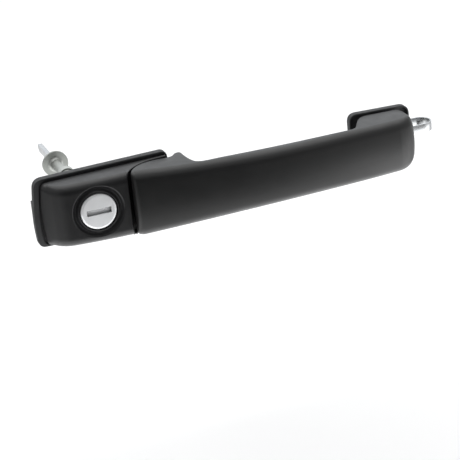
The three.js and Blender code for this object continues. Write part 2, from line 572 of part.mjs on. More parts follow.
function tailShaft() {
  const { hubFront, collar, hubBack, hub, neck, fillet, discFront, disc, discBack, bladeStart, slack } = TAIL;
  const shank = hub - TAIL.hubStep;
  let body = turned([
    [0, hubFront], [shank, hubFront], [shank, collar], [hub, collar], [hub, hubBack],
    [neck, hubBack + fillet], [neck, discFront - fillet], [neck + fillet, discFront],
    [disc, discFront], [disc, discBack], [0, discBack]], MEDIUM);
  const socket = PLUG.tang / 2 + slack;
  body = body.subtract(box(LOCK_X - socket, LOCK_X + socket, 0, PLUG.tangEnd + GAP, -socket, socket));
  const slotX = TAIL.bladeThick / 2 + slack;
  const slotZ = TAIL.bladeWidth / 2 + slack;
  body = body.subtract(box(LOCK_X - slotX, LOCK_X + slotX, bladeStart - GAP, 2 * FAR, -slotZ, slotZ));
  return piece('lock_tail_shaft', body, castZinc());
}

function tailBlade() {
  const half = TAIL.bladeWidth / 2;
  const shape = new THREE.Shape();
  shape.moveTo(TAIL.bladeStart, -half);
  shape.lineTo(TAIL.lowerTip, -half);
  shape.lineTo(TAIL.tip, 0);
  shape.lineTo(TAIL.tip, half);
  shape.lineTo(TAIL.bladeStart, half);
  shape.closePath();
  const body = slabX(shape, LOCK_X - TAIL.bladeThick / 2, LOCK_X + TAIL.bladeThick / 2);
  return piece('lock_tail_blade', body, springSteel());
}

function tailCirclip() {
  const inner = PLUG.neck + 0.2;
  const front = BARREL.back + GAP;
  const back = front + CIRCLIP.thick;
  const ring = turned([[inner, front], [CIRCLIP.radius, front], [CIRCLIP.radius, back],
    [inner, back], [inner, front]], MEDIUM);
  const gap = box(LOCK_X - CIRCLIP.gap / 2, LOCK_X + CIRCLIP.gap / 2, 0, FAR, -9, 0);
  return piece('plug_circlip', ring.subtract(gap), springSteel());
}

function lockSpring() {
  const geometry = coilGeometry(LOCK_COIL);
  geometry.rotateX(-Math.PI / 2);
  geometry.translate(LOCK_X, LOCK_COIL.start, 0);
  return piece('lock_return_spring', solid(geometry), springSteel());
}

// ---------------------------------------------------------------- grip
// the grip's front edge: an even bow along X
const gripFront = (x) => GRIP.front + (x - GRIP.bowX) ** 2 / (2 * GRIP.bowRadius);

// where the grip's end arc begins, just behind its rounded front corner
const GRIP_LEFT_Y = gripFront(SEAM_X - SEAM_GRIP_RADIUS) + GRIP.frontCorner;
const GRIP_LEFT = SEAM_X - Math.sqrt(SEAM_GRIP_RADIUS ** 2 - (GRIP_LEFT_Y - SEAM_Y) ** 2);

function gripFrontEdge() {
  const left = GRIP_LEFT;
  const { right, frontCorner, endDepth, endLength } = GRIP;
  const bowEnd = right - endLength;
  const path = new THREE.Path();
  path.moveTo(left, GRIP_LEFT_Y);
  path.quadraticCurveTo(left, gripFront(left), left + frontCorner, gripFront(left + frontCorner));
  for (const x of GRIP_STATIONS) path.lineTo(x, gripFront(x));
  path.lineTo(bowEnd, gripFront(bowEnd));
  path.bezierCurveTo(bowEnd + endLength * 0.6, gripFront(bowEnd) + 1.6,
    right, gripFront(bowEnd) + endDepth * 0.4, right, gripFront(bowEnd) + endDepth);
  return path;
}

function gripBackEdge() {
  const { right, back, endBack, backCorner } = GRIP;
  const startAngle = Math.PI - Math.asin((GRIP_LEFT_Y - SEAM_Y) / SEAM_GRIP_RADIUS);
  const path = new THREE.Path();
  path.absarc(SEAM_X, SEAM_Y, SEAM_GRIP_RADIUS, startAngle, Math.PI / 2, true);
  path.bezierCurveTo(FIN.foot - 4, SEAM_Y + SEAM_GRIP_RADIUS, FIN.foot - 1.5, FIN.footY - 1.7,
    FIN.foot, FIN.footY);
  path.bezierCurveTo(FIN.foot + 1.5, FIN.footY + 1.9, FIN.tip - 2.4, FIN.y, FIN.tip, FIN.y);
  path.quadraticCurveTo(FIN.right - 0.05, FIN.y, FIN.right, FIN.rightY);
  path.bezierCurveTo(FIN.right + 0.1, mix(FIN.rightY, DIP.y, 0.67), FIN.right + 1.6, DIP.y, DIP.x, DIP.y);
  path.bezierCurveTo(mix(DIP.x, DIP.right, 0.4), DIP.y, mix(DIP.x, DIP.right, 0.6), back, DIP.right, back);
  path.lineTo(FOOT.left, back);
  path.bezierCurveTo(mix(FOOT.left, FOOT.back, 0.35), back, mix(FOOT.left, FOOT.back, 0.45), endBack,
    FOOT.back, endBack);
  path.lineTo(right - backCorner, endBack);
  path.quadraticCurveTo(right, endBack, right, endBack - backCorner);
  return path;
}

// the grip's top edge, or its bottom edge when it is drawn with the bottom's numbers
function gripRimEdge({ level, rise, reach, drop, leftCorner, endRadius }) {
  const left = GRIP_LEFT;
  const { right } = GRIP;
  const height = (x) => level + rise * (1 - clamp01(x / reach)) ** 2 - drop * Math.max(0, x - FOOT.left);
  const path = new THREE.Path();
  path.moveTo(left, height(left) - leftCorner);
  path.quadraticCurveTo(left, height(left), left + leftCorner, height(left + leftCorner));
  for (const x of GRIP_STATIONS) path.lineTo(x, height(x));
  path.lineTo(right - endRadius, height(right - endRadius));
  path.quadraticCurveTo(right, height(right), right, height(right) - endRadius);
  return path;
}

function gripForm(inset, detail) {
  const steps = detail.edgeSteps;
  const bottom = gripRimEdge(GRIP_BOTTOM).getPoints(steps);
  const edges = {
    front: gripFrontEdge().getPoints(steps),
    back: gripBackEdge().getPoints(steps),
    top: gripRimEdge(GRIP_TOP).getPoints(steps),
    bottom: bottom.map((point) => new THREE.Vector2(point.x, -point.y)),
  };
  const backRadius = (x) => (x < FOOT.left
    ? mix(GRIP.finEdge, GRIP.backEdge, clamp01((x - FIN.right) / 3))
    : mix(GRIP.backEdge, GRIP.footEdge, clamp01((x - FOOT.left) / (FOOT.back - FOOT.left))));
  return mouldedForm({ edges, inset, left: GRIP_LEFT + inset, right: GRIP.right - inset,
    frontRadius: () => GRIP.edgeRadius, backRadius, draft: 0, crown: GRIP.crown }, detail);
}

function gripShell() {
  let body = gripForm(0, OUTSIDE).subtract(gripForm(GRIP.wall, INSIDE));
  const { left, right, halfHeight } = WINDOW;
  body = body.subtract(box(left, right, GRIP.back - 5, 0, -halfHeight, halfHeight));
  body = body.subtract(box(ARM.left - GAP, ARM.right + GAP, -20, 0, ARM.bottom - GAP, ARM.top + GAP));
  body = body.subtract(box(HINGE.x - HINGE.postHalf - GAP, HINGE.x + HINGE.postHalf + GAP, -20, 0,
    HINGE.knuckleBottom - GAP, HINGE.knuckleTop + GAP));
  return piece('grip_shell', body, blackPlastic());
}

function gripInnerCover() {
  const [left, right, top] = [WINDOW.left + GAP, WINDOW.right - GAP, WINDOW.halfHeight - GAP];
  const corner = 0.6;
  const shape = easedShape([[left, -top, corner], [right, -top, corner], [right, top, corner],
    [left, top, corner]]);
  return piece('grip_inner_cover', slabY(shape, GRIP.back - WINDOW.coverThick, GRIP.back, 2), innerPlastic());
}

function gripScrewHole(x) {
  return barY(x, 0, GRIP_SCREW.shank + GAP, -FAR, FAR, COARSE);
}

function gripScrew({ name, x }) {
  const shank = barY(x, 0, GRIP_SCREW.shank, GRIP_SCREW.tip, GRIP_SCREW.seat + 0.1, COARSE);
  const head = barY(x, 0, GRIP_SCREW.head, GRIP_SCREW.seat, GRIP_SCREW.top, COARSE);
  const socket = barY(x, 0, GRIP_SCREW.socket, GRIP_SCREW.top - GRIP_SCREW.socketDepth, FAR, HEXAGON);
  return piece(name, shank.add(head).subtract(socket), blackSteel());
}

function gripCore() {
  let body = box(CORE.left, CORE.right, CORE.front, CORE.back, -CORE.halfHeight, CORE.halfHeight);
  for (const { x } of GRIP_SCREWS) body = body.subtract(gripScrewHole(x));
  return piece('grip_core', body, springSteel());
}

// centre of the pin on the lever's tip, which runs in the arm's slot
const LEAN = THREE.MathUtils.degToRad(LEVER.lean);
const NOSE_Y = LEVER.y + LEVER.reach * Math.sin(LEAN);
const NOSE_Z = LEVER.z + LEVER.reach * Math.cos(LEAN);

function pullArm() {
  const rise = LEVER.reach - (NOSE_Z - LEVER.z);
  const clear = LEVER.nosePin + 0.5;
  const blade = easedShape([
    [CORE.back + GAP, ARM.bottom, 1], [ARM.end, ARM.bottom, 3], [ARM.end, ARM.endTop, 2],
    [NOSE_Y - 8, ARM.endTop, 2], [NOSE_Y - 12, ARM.top, 2], [CORE.back + GAP, ARM.top, 1]]);
  const slot = easedShape([
    [NOSE_Y - clear, NOSE_Z - clear, 1.5], [NOSE_Y + clear, NOSE_Z - clear, 1.5],
    [NOSE_Y + clear, NOSE_Z + rise + clear, 1.5], [NOSE_Y - clear, NOSE_Z + rise + clear, 1.5]]);
  let body = slabX(blade, ARM.left, ARM.right, 3).subtract(slabX(slot, 0, 30, 3));
  body = body.add(box(ARM.left, ARM.footRight, CORE.back + GAP, ARM.footBack, ARM.bottom, ARM.top));
  for (const { x } of GRIP_SCREWS.slice(0, 2)) body = body.subtract(gripScrewHole(x));
  return piece('pull_arm', body, castZinc());
}

function hingeKnuckle() {
  const { x, y, bush, knuckle, knuckleBottom, knuckleTop, postHalf, footLeft, fit } = HINGE;
  let body = barZ(x, y, knuckle, knuckleBottom, knuckleTop);
  body = body.add(box(x - postHalf, x, ARM.footBack - 1, y, knuckleBottom, knuckleTop));
  body = body.add(box(x - 1, x + postHalf, ARM.footBack + 2, y, knuckleBottom, knuckleTop));
  body = body.add(box(footLeft, x - 3, CORE.back + GAP, ARM.footBack, -CORE.halfHeight, CORE.halfHeight));
  body = body.subtract(gripScrewHole(GRIP_SCREWS[2].x));
  return piece('hinge_knuckle', body.subtract(barZ(x, y, bush + fit, -FAR, FAR)), castZinc());
}

function hingeBush() {
  const { x, y, bush, pin, knuckleBottom, knuckleTop, fit } = HINGE;
  const bore = barZ(x, y, pin + fit, -FAR, FAR);
  return piece('hinge_bush', barZ(x, y, bush, knuckleBottom, knuckleTop).subtract(bore), whitePlastic());
}

// ---------------------------------------------------------------- release lever
function leverPiece() {
  const half = LEVER.halfWidth;
  const input = new THREE.BoxGeometry(LEVER.plateRight - LEVER.left, 2 * half, LEVER.reach);
  input.translate((LEVER.left + LEVER.plateRight) / 2, 0, LEVER.reach / 2);
  input.rotateX(-LEAN);
  input.translate(0, LEVER.y, LEVER.z);
  const outZ = LEVER.z - LEVER.outReach;
  const [bossFront, bossBack] = ADJUSTER.boss;
  let body = solid(input).add(barX(NOSE_Y, NOSE_Z, half, LEVER.left, LEVER.plateRight));
  body = body.add(barX(LEVER.y, LEVER.z, LEVER.hub, LEVER.left, LEVER.hubRight));
  body = body.add(box(LEVER.left, LEVER.plateRight, LEVER.y - half, LEVER.y + half,
    outZ - LEVER.outEnd, LEVER.z));
  body = body.add(box(LEVER.left, ADJUSTER.x + LEVER.bossOver, bossFront, bossBack,
    outZ - LEVER.bossHalf, outZ + LEVER.bossHalf));
  body = body.subtract(barX(LEVER.y, LEVER.z, LEVER_PIN.radius + 0.1, 0, FAR));
  body = body.subtract(barX(NOSE_Y, NOSE_Z, LEVER.nosePin + 0.1, LEVER.left + 0.5, FAR, COARSE));
  body = body.subtract(barY(ADJUSTER.x, outZ, ADJUSTER.radius + 0.1, 0, FAR, COARSE));
  return piece('release_lever', body, innerPlastic());
}

function leverNosePin() {
  const body = barX(NOSE_Y, NOSE_Z, LEVER.nosePin, LEVER.left + 0.8, LEVER.noseRight, COARSE);
  return piece('lever_nose_pin', body, springSteel());
}

function adjustingScrew() {
  const z = LEVER.z - LEVER.outReach;
  const { x, radius, front, back, headThick } = ADJUSTER;
  const shank = barY(x, z, radius, front, back, COARSE);
  const head = barY(x, z, ADJUSTER.head, front - headThick, front + 0.1, HEXAGON);
  return piece('adjusting_screw', shank.add(head), whitePlastic());
}

function adjustingNut() {
  const z = LEVER.z - LEVER.outReach;
  const [front, back] = ADJUSTER.nut;
  const hex = barY(ADJUSTER.x, z, ADJUSTER.nutRadius, front, back, HEXAGON);
  const hole = barY(ADJUSTER.x, z, ADJUSTER.radius + 0.12, 0, FAR, COARSE);
  return piece('adjusting_nut', hex.subtract(hole), brass());
}

function leverPivotPin() {
  const { radius, left, right, headThick } = LEVER_PIN;
  const headLeft = right + 0.8 - headThick;
  const pin = barX(LEVER.y, LEVER.z, radius, left, right, COARSE);
  const head = barX(LEVER.y, LEVER.z, LEVER_PIN.head, headLeft, headLeft + headThick, COARSE);
  return piece('lever_pivot_pin', pin.add(head), springSteel());
}

function leverSpring() {
  const geometry = coilGeometry(LEVER_COIL);
  geometry.rotateY(Math.PI / 2);
  geometry.translate(LEVER_COIL.start, LEVER.y, LEVER.z);
  return piece('lever_return_spring', solid(geometry), springSteel());
}

// ---------------------------------------------------------------- hinge end
function hingeGasket() {
  const { left, right, front, web, lip, radius, topLeft, topRight, bottomLeft, bottomRight } = HINGE_GASKET;
  const outline = (inset) => easedShape([
    [left + inset, topLeft - inset, radius - inset], [left + inset, bottomLeft + inset, radius - inset],
    [right - inset, bottomRight + inset, radius - inset], [right - inset, topRight - inset, radius - inset]]);
  const { half } = BRACKET;
  const opening = box(BRACKET.left - 1, HINGE_GASKET.openingRight, -FAR, FAR, -half - 1, half);
  const body = slabY(outline(0), front, 0).subtract(slabY(outline(lip), -FAR, web));
  return piece('hinge_gasket', body.subtract(opening), gasketRubber());
}

function hingeBracket() {
  const { left, right, front, bridge, back, cheek, half } = BRACKET;
  let body = box(left, right, bridge, back, -half, half);
  body = body.add(box(left, right, front, bridge + 0.1, -half, -cheek));
  body = body.add(box(left, right, front, bridge + 0.1, cheek, half));
  body = body.subtract(barZ(HINGE.x, HINGE.y, HINGE.pin + HINGE.fit, -FAR, FAR));
  body = body.subtract(barY(STRAP.rivetX, STRAP.z, STRAP.rivet + 0.1, 0, FAR, COARSE));
  return piece('hinge_bracket', body, castZinc());
}

function hingePin() {
  return piece('hinge_pin', barZ(HINGE.x, HINGE.y, HINGE.pin, -HINGE.pinHalf, HINGE.pinHalf), springSteel());
}

function gripSpring() {
  const geometry = coilGeometry(GRIP_COIL);
  geometry.translate(HINGE.x, HINGE.y, GRIP_COIL.start);
  return piece('grip_return_spring', solid(geometry), springSteel());
}

// a flat strip bent into a U that lies behind the door skin, its closed end past the gasket
function retainingStrap() {
  const { width, z, thick, rear, front, turnX, freeEnd, start, rivetX, rivet } = STRAP;
  const middle = (rear + front) / 2;
  const radius = (rear - front) / 2;
  const outer = radius + thick / 2;
  const inner = radius - thick / 2;
  const shape = new THREE.Shape();
  shape.moveTo(start, middle + outer);
  shape.lineTo(start, middle + inner);
  shape.lineTo(turnX, middle + inner);
  shape.absarc(turnX, middle, inner, Math.PI / 2, -Math.PI / 2, true);
  shape.lineTo(freeEnd, middle - inner);
  shape.lineTo(freeEnd, middle - outer);
  shape.lineTo(turnX, middle - outer);
  shape.absarc(turnX, middle, outer, -Math.PI / 2, Math.PI / 2, false);
  shape.closePath();
  const strip = slabZ(shape, z - width / 2, z + width / 2, 12);
  const hole = barY(rivetX, z, rivet + 0.1, rear - 2, rear + 2, COARSE);
  return piece('retaining_strap', strip.subtract(hole), springSteel());
}

function strapRivet() {
  const { z, rear, thick, rivetX, rivet } = STRAP;
  const shank = barY(rivetX, z, rivet, BRACKET.bridge + 0.1, rear + thick / 2 + 0.2, COARSE);
  const head = barY(rivetX, z, rivet + 1, rear + thick / 2 + 0.1, rear + thick / 2 + 1.1, COARSE);
  return piece('strap_rivet', shank.add(head), castZinc());
}

// ---------------------------------------------------------------- assembly
const group = new THREE.Group();

const doorSide = new THREE.Group();
doorSide.add(coverPiece(), carrierPiece(), lockGasket(), coverScrew(0), coverScrew(1));
doorSide.add(gripBuffer('grip_buffer_upper', 1), gripBuffer('grip_buffer_lower', -1));
doorSide.add(barrelPiece(), barrelClip(), barrelSeal(), lockSpring());
doorSide.add(leverPivotPin(), leverSpring());
doorSide.add(hingeGasket(), hingeBracket(), hingePin(), gripSpring(), retainingStrap(), strapRivet());

const grip = new THREE.Group();
grip.add(gripShell(), gripInnerCover(), gripCore(), pullArm(), hingeKnuckle(), hingeBush());
for (const screw of GRIP_SCREWS) grip.add(gripScrew(screw));

const lever = new THREE.Group();
lever.add(leverPiece(), leverNosePin(), adjustingScrew(), adjustingNut());

const lock = new THREE.Group();
lock.add(plugPiece(), faceCap(), shutterPin(), keyShutter(), tailShaft(), tailBlade(), tailCirclip());
for (let i = 0; i < WAFER.count; i++) lock.add(waferPiece(i));

group.add(doorSide, grip, lever, lock);

export default group;
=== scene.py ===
"""Looks of the exterior car door handle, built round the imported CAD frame. Shape code is in millimetres."""

import json
import math
from types import SimpleNamespace as Sizes

import bmesh
import bpy
import numpy as np
from mathutils import Matrix, Vector


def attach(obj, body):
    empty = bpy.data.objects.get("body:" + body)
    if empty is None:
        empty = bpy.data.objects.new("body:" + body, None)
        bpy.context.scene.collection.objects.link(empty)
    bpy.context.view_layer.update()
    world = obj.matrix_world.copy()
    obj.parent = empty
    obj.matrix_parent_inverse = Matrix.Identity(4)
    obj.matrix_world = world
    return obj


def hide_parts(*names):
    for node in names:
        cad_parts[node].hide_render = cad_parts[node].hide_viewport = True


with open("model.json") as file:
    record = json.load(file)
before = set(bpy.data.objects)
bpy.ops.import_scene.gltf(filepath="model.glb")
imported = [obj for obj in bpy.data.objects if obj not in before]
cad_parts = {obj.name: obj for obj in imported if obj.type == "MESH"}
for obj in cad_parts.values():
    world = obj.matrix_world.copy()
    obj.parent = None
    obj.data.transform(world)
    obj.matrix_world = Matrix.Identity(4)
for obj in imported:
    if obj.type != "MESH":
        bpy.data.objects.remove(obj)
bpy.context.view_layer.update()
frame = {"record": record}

MM = 0.001
FINE = 96
MEDIUM = 48
SMALL = 32

# ---------------- dimensions, as in the CAD source
GAP = 0.3
FAR = 60.0
FIT = 0.12
SEAM_X, SEAM_Y = 16.0, -32.0
SEAM_GRIP_RADIUS = 23.1
SEAM_COVER_X, SEAM_COVER_Y = 25.3, 24.1
SEAM_EASE = 1.5
LOCK_X = -26.0
LOCK = (LOCK_X, 0.0)
FACE_Y = -22.7
LOCK_BORE = 11.25
DISH_OUTER = 15.7


class Cover:
    left, left_front, right, rim, ramp, face = -55.5, -47.5, 21, -5.7, -7.9, -22.7
    crown_x, crown_radius, corner_radius, edge_radius, back_radius = -12, 320, 7, 5.2, 0.8
    top, top_slope, bottom, bottom_slope, draft, wall = 18.9, 0.018, 20.2, 0.015, 0.02, 2.2
    top_start, bottom_start, lean, top_radius, bottom_radius = 4, -6, 0.9, 4, 2.2
    boss_front, boss_back = -20.6, -13.4


class Grip:
    right, bow_x, bow_radius, front, crown, back = 172.2, 85, 580, -33, 2.4, -23.4
    edge_radius, fin_edge, back_edge, foot_edge, end_back, wall = 5, 1, 2.9, 1.4, -5.2, 2.4
    front_corner, back_corner, end_length, end_depth = 3, 4.5, 13, 14
    top_edge = dict(level=17.2, rise=2.2, reach=100, drop=0.02, left_corner=2, end_radius=5)
    bottom_edge = dict(level=15.3, rise=4.3, reach=125, drop=0, left_corner=4, end_radius=11)


SEAM_LIP = Sizes(inner=23.45, outer=25.4, start=151, end=95, bottom=-19.3, top=-18.1)
FIN = Sizes(foot=25.3, foot_y=-6.9, tip=29.8, y=-3.3, right=30.9, right_y=-5.5)
DIP = Sizes(x=38.5, y=-24.2, right=51)
FOOT = Sizes(left=130.5, back=148)
WINDOW = Sizes(left=52, right=128, half=11, thick=2.1)
ARM = Sizes(left=13.8, right=16.4, bottom=-4.5, top=5.5, end=29.5, end_top=7.6, foot_back=-23.8,
    foot_right=29.6)
PASSAGE = Sizes(left=13.1, right=18.7, half=7)
CORE = Sizes(left=17, right=151, front=-27.9, back=-26.9, half=5)
LEVER = Sizes(y=19, z=-13, reach=16, lean=24, out=14, left=9.2, plate=11.6, hub_right=14, hub=3.6,
    half=2.6, out_end=3.5, boss_half=3.8, nose=1.5, nose_right=17.4)
LEVER_PIN = Sizes(radius=1.8, left=6.2, head_left=20.8, right=22.2, head=3)
EAR = Sizes(left=7, left_end=8.8, right=18.8, right_end=20.5, bottom=-17.2, top=-8.6, back=23.6)
ADJUSTER = Sizes(x=13.4, radius=2.3, front=12.5, back=31, boss=(17, 21.8), nut=(22.1, 25), nut_radius=4.2)
HINGE = Sizes(x=160, y=8, pin=2.2, pin_half=10.6, bush=3.2, knuckle=4.7, bottom=-6.6, top=1.8, post=3.4,
    foot_left=143)
BRACKET = Sizes(left=150.5, right=171, front=1.5, bridge=13.1, back=15, cheek=7.1, half=9.6)
STRAP = Sizes(width=5.5, z=-2.5, thick=1, rear=15.9, front=2.4, turn=189.2, free=178.2, start=153,
    rivet_x=159, rivet=1.7)
CARRIER = Sizes(front=-9.3, left=-48, right=0.2, half=13.6, sleeve=13.2, sleeve_back=9)
BOSS = Sizes(left=-58.2, right=-44, front=0.4, back=6.6, bottom=-11.4, top=4.4, hole=2.2, hole_z=-6.4,
    depth=9, rib_left=-48.2)
FLANGE_FRONT, FLANGE_BACK = -4.9, -3.7
GASKET_THICK, GASKET_LIP = 3.4, 1.5
GASKET_RIM = dict(top=1.9, bottom=1.9, left=3.6, radius=5.5)
GASKET_WELL = dict(top=0.9, bottom=0.8, left=0.5, radius=5)
FLANGE_RIM = dict(top=-1, bottom=-1, left=-1.4, radius=5)
HINGE_GASKET = Sizes(left=137.7, right=176.6, front=-4.4, web=-1.6, lip=0.9, radius=5.5,
    corners=(18.3, -17, -15.2, 17.2), opening=168)
SCREWS = [(-45, 11), (-7.5, -11)]
SCREW = Sizes(shank=1.5, head=2.9, tip=-15.4, seat=-5.8, top=-3.9, socket_depth=1.2)
GRIP_SCREWS = dict(arm_screw_1=19.8, arm_screw_2=26.2, knuckle_screw=149)
GRIP_SCREW = Sizes(shank=1.6, head=2.8, tip=-28.3, seat=-23.6, top=-21.8, socket_depth=1.0)
GRIP_SCREW_HOLE = 1.9
BUFFER = Sizes(x=17.4, z=12, stem=1.6, head=2.4)
BARREL = Sizes(radius=10.9, flange=12.6, front=-11.8, flange_back=-9.6, step=18, tail=8.4, back=27,
    bore=7.9, fit=6.9)
CLIP = Sizes(front=10.5, back=11.2, radius=13, groove=(10.2, 11.5))
PLUG = Sizes(radius=6.6, front=-14.2, flange=8.7, flange_back=-12.5, back=25, neck=4.2, neck_end=32.6,
    tang=2.5, tang_end=40)
KEYWAY = Sizes(half_width=4.6, half_height=1.35, end=17)
WAFER = Sizes(count=6, first=-7.5, pitch=4, half_thick=0.35, half_length=6.5, half_height=4.2, stand_out=0.9,
    window=(4.7, 1.65))
CAP = Sizes(radius=10.8, bore=9.65, plate_back=-21.3, back=-12.2)
SLOT = Sizes(half_width=7.3, half_height=1.75)
SHUTTER = Sizes(front=-20.9, back=-20.3, bottom=-2.3, pivot=(-20.1, 3.4), half=7.8, tube=0.95, pin=0.5,
    pin_half=8.4)
TAIL = Sizes(front=33, collar=43, hub_back=48.3, hub=5.6, shank=4.7, neck=3.2, fillet=1.2, disc=8.1,
    disc_front=69.5, disc_back=71)
BLADE = Sizes(start=66, lower_tip=103, tip=105.5, half_width=2.2, half_thick=1.4)


# ---------------- mesh building
def put(name, data):
    """An object for some data, linked into the scene."""
    obj = bpy.data.objects.new(name, data)
    bpy.context.scene.collection.objects.link(obj)
    return obj


def mesh_object(name, verts, faces):
    mesh = bpy.data.meshes.new(name)
    mesh.from_pydata([tuple(float(c) * MM for c in v) for v in verts], [], [tuple(f) for f in faces])
    made = bmesh.new()
    made.from_mesh(mesh)
    bmesh.ops.remove_doubles(made, verts=made.verts, dist=1e-6)
    bmesh.ops.recalc_face_normals(made, faces=made.faces)
    made.to_mesh(mesh)
    made.free()
    return put(name, mesh)


def eased(corners, steps=8, closed=True):
    """Points of an outline whose corners (u, v, radius) are rounded by quadratic curves."""
    points = []
    count = len(corners)
    for i, corner in enumerate(corners):
        u, v = corner[0], corner[1]
        radius = corner[2] if len(corner) > 2 else 0
        end = not closed and i in (0, count - 1)
        if radius <= 0 or end:
            points.append((u, v))
            continue
        here = np.array([u, v], float)
        before = np.array(corners[i - 1][:2], float) - here
        after = np.array(corners[(i + 1) % count][:2], float) - here
        entry = here + before / np.linalg.norm(before) * radius
        leave = here + after / np.linalg.norm(after) * radius
        for k in range(steps + 1):
            t = k / steps
            points.append(tuple((1 - t) ** 2 * entry + 2 * t * (1 - t) * here + t * t * leave))
    return points


def skin(rows, sides):
    """Quads between rows of points, with a flat face on the first row and on the last."""
    faces = []
    for i in range(rows - 1):
        for k in range(sides):
            n = (k + 1) % sides
            faces.append((i * sides + k, i * sides + n, (i + 1) * sides + n, (i + 1) * sides + k))
    faces.append(tuple(range(sides)))
    faces.append(tuple(range((rows - 1) * sides, rows * sides)))
    return faces


def revolve(name, profile, axis="Y", centre=LOCK, flats=FINE, closed=False):
    """A profile of (radius, along) points turned about an axis that passes through centre."""
    rings, verts, faces = [], [], []
    for radius, along in profile:
        if radius < 1e-6:
            rings.append([len(verts)])
            verts.append(place(axis, centre, 0, 0, along))
            continue
        ring = []
        for k in range(flats):
            angle = 2 * math.pi * k / flats
            ring.append(len(verts))
            verts.append(place(axis, centre, radius * math.cos(angle), radius * math.sin(angle), along))
        rings.append(ring)
    pairs = list(zip(rings, rings[1:])) + ([(rings[-1], rings[0])] if closed else [])
    for a, b in pairs:
        for k in range(flats):
            n = (k + 1) % flats
            if len(a) == 1 and len(b) == 1:
                break
            if len(a) == 1:
                faces.append((a[0], b[k], b[n]))
            elif len(b) == 1:
                faces.append((a[k], a[n], b[0]))
            else:
                faces.append((a[k], a[n], b[n], b[k]))
    return mesh_object(name, verts, faces)


def place(axis, centre, u, v, along):
    """A point from its two coordinates across an axis and the one along it."""
    p, q = centre
    if axis == "X":
        return (along, p + u, q + v)
    if axis == "Y":
        return (p + u, along, q + v)
    return (p + u, q + v, along)


def bar(name, axis, centre, radius, start, end, flats=SMALL, edge=0.12):
    profile = eased([(0, start), (radius, start, edge), (radius, end, edge), (0, end)], 3, closed=False)
    return revolve(name, profile, axis, centre, flats)


def tube_ring(name, axis, centre, inner, outer, start, end, flats=MEDIUM, edge=0.12):
    profile = eased([(inner, start, edge), (outer, start, edge), (outer, end, edge), (inner, end, edge)], 3)
    return revolve(name, profile, axis, centre, flats, closed=True)


def inset(points, amount):
    """A closed outline moved inwards by amount along its corner bisectors."""
    p = np.array(points, float)
    before, after = np.roll(p, 1, 0), np.roll(p, -1, 0)
    d1, d2 = p - before, after - p
    d1 /= np.maximum(np.linalg.norm(d1, axis=1, keepdims=True), 1e-9)
    d2 /= np.maximum(np.linalg.norm(d2, axis=1, keepdims=True), 1e-9)
    n1, n2 = np.stack([-d1[:, 1], d1[:, 0]], 1), np.stack([-d2[:, 1], d2[:, 0]], 1)
    area = 0.5 * np.sum(p[:, 0] * after[:, 1] - after[:, 0] * p[:, 1])
    bisector = n1 + n2
    scale = 2 / np.maximum(np.sum(bisector * bisector, axis=1), 0.5)
    return p + np.sign(area) * amount * bisector * scale[:, None]


def slab(name, axis, outline, start, end, edge=0.0, steps=3):
    """An outline across an axis, drawn out from start to end, with rounded rims."""
    clean = [p for i, p in enumerate(outline) if math.dist(p, outline[i - 1]) > 1e-4]
    if edge > 0:
        turns = [k / steps * math.pi / 2 for k in range(steps + 1)]
        layers = [(edge * (1 - math.sin(t)), start + edge * (1 - math.cos(t))) for t in turns]
        layers += [(edge * (1 - math.cos(t)), end - edge * (1 - math.sin(t))) for t in turns]
    else:
        layers = [(0, start), (0, end)]
    verts = []
    for amount, along in layers:
        for u, v in inset(clean, amount) if amount > 1e-9 else clean:
            verts.append(place(axis, (0, 0), u, v, along))
    return mesh_object(name, verts, skin(len(layers), len(clean)))


def block(name, x0, x1, y0, y1, z0, z1, edge=0.0):
    return slab(name, "Z", [(x0, y0), (x1, y0), (x1, y1), (x0, y1)], z0, z1, edge)


def sweep(name, points, radius, sides=12):
    """A round wire along a list of points, closed at both ends."""
    pts = np.array(points, float)
    tangent = np.gradient(pts, axis=0)
    tangent /= np.linalg.norm(tangent, axis=1, keepdims=True)
    up = np.array([0.0, 0.0, 1.0]) if abs(tangent[0][2]) < 0.9 else np.array([0.0, 1.0, 0.0])
    verts = []
    for p, t in zip(pts, tangent):
        side = np.cross(t, up)
        side /= np.linalg.norm(side)
        up = np.cross(side, t)
        for k in range(sides):
            a = 2 * math.pi * k / sides
            verts.append(p + radius * (math.cos(a) * side + math.sin(a) * up))
    return mesh_object(name, verts, skin(len(pts), sides))


def coil(node, axis, centre, start, radius, pitch, turns, wire, points, spin=1, phase=0.0):
    """A coil spring about an axis, from start along it; spin is -1 for a left-hand coil."""
    line = []
    for t in np.linspace(0, turns * 2 * math.pi, points):
        u, v = radius * math.cos(t + phase), spin * radius * math.sin(t + phase)
        line.append(place(axis, centre, u, v, start + pitch * t / (2 * math.pi)))
    return stand_for(sweep("spring", line, wire / 2), node, 60)


def combine(target, tools, operation):
    for tool in tools:
        change = target.modifiers.new("combine", "BOOLEAN")
        change.operation = operation
        change.object = tool
        change.solver = "MANIFOLD"
    bpy.context.view_layer.update()
    graph = bpy.context.evaluated_depsgraph_get()
    mesh = bpy.data.meshes.new_from_object(target.evaluated_get(graph))
    target.modifiers.clear()
    old = target.data
    target.data = mesh
    bpy.data.meshes.remove(old)
    for tool in tools:
        data = tool.data
        bpy.data.objects.remove(tool)
        bpy.data.meshes.remove(data)
    return target


def cut(target, *tools):
    return combine(target, tools, "DIFFERENCE")


def join(target, *tools):
    return combine(target, tools, "UNION")


def cut_each(target, tools):
    for tool in tools:
        cut(target, tool)


def drill(target, axis, centre, radius, start=-FAR, end=FAR, flats=SMALL):
    return cut(target, bar("hole", axis, centre, radius, start, end, flats))


BODY_OF = {node: body for body, nodes in frame["record"]["behaviour"]["bodies"].items() for node in nodes}
SLOT_OF = {s["node"]: s["material_slot"] for s in frame["record"]["subparts"]}


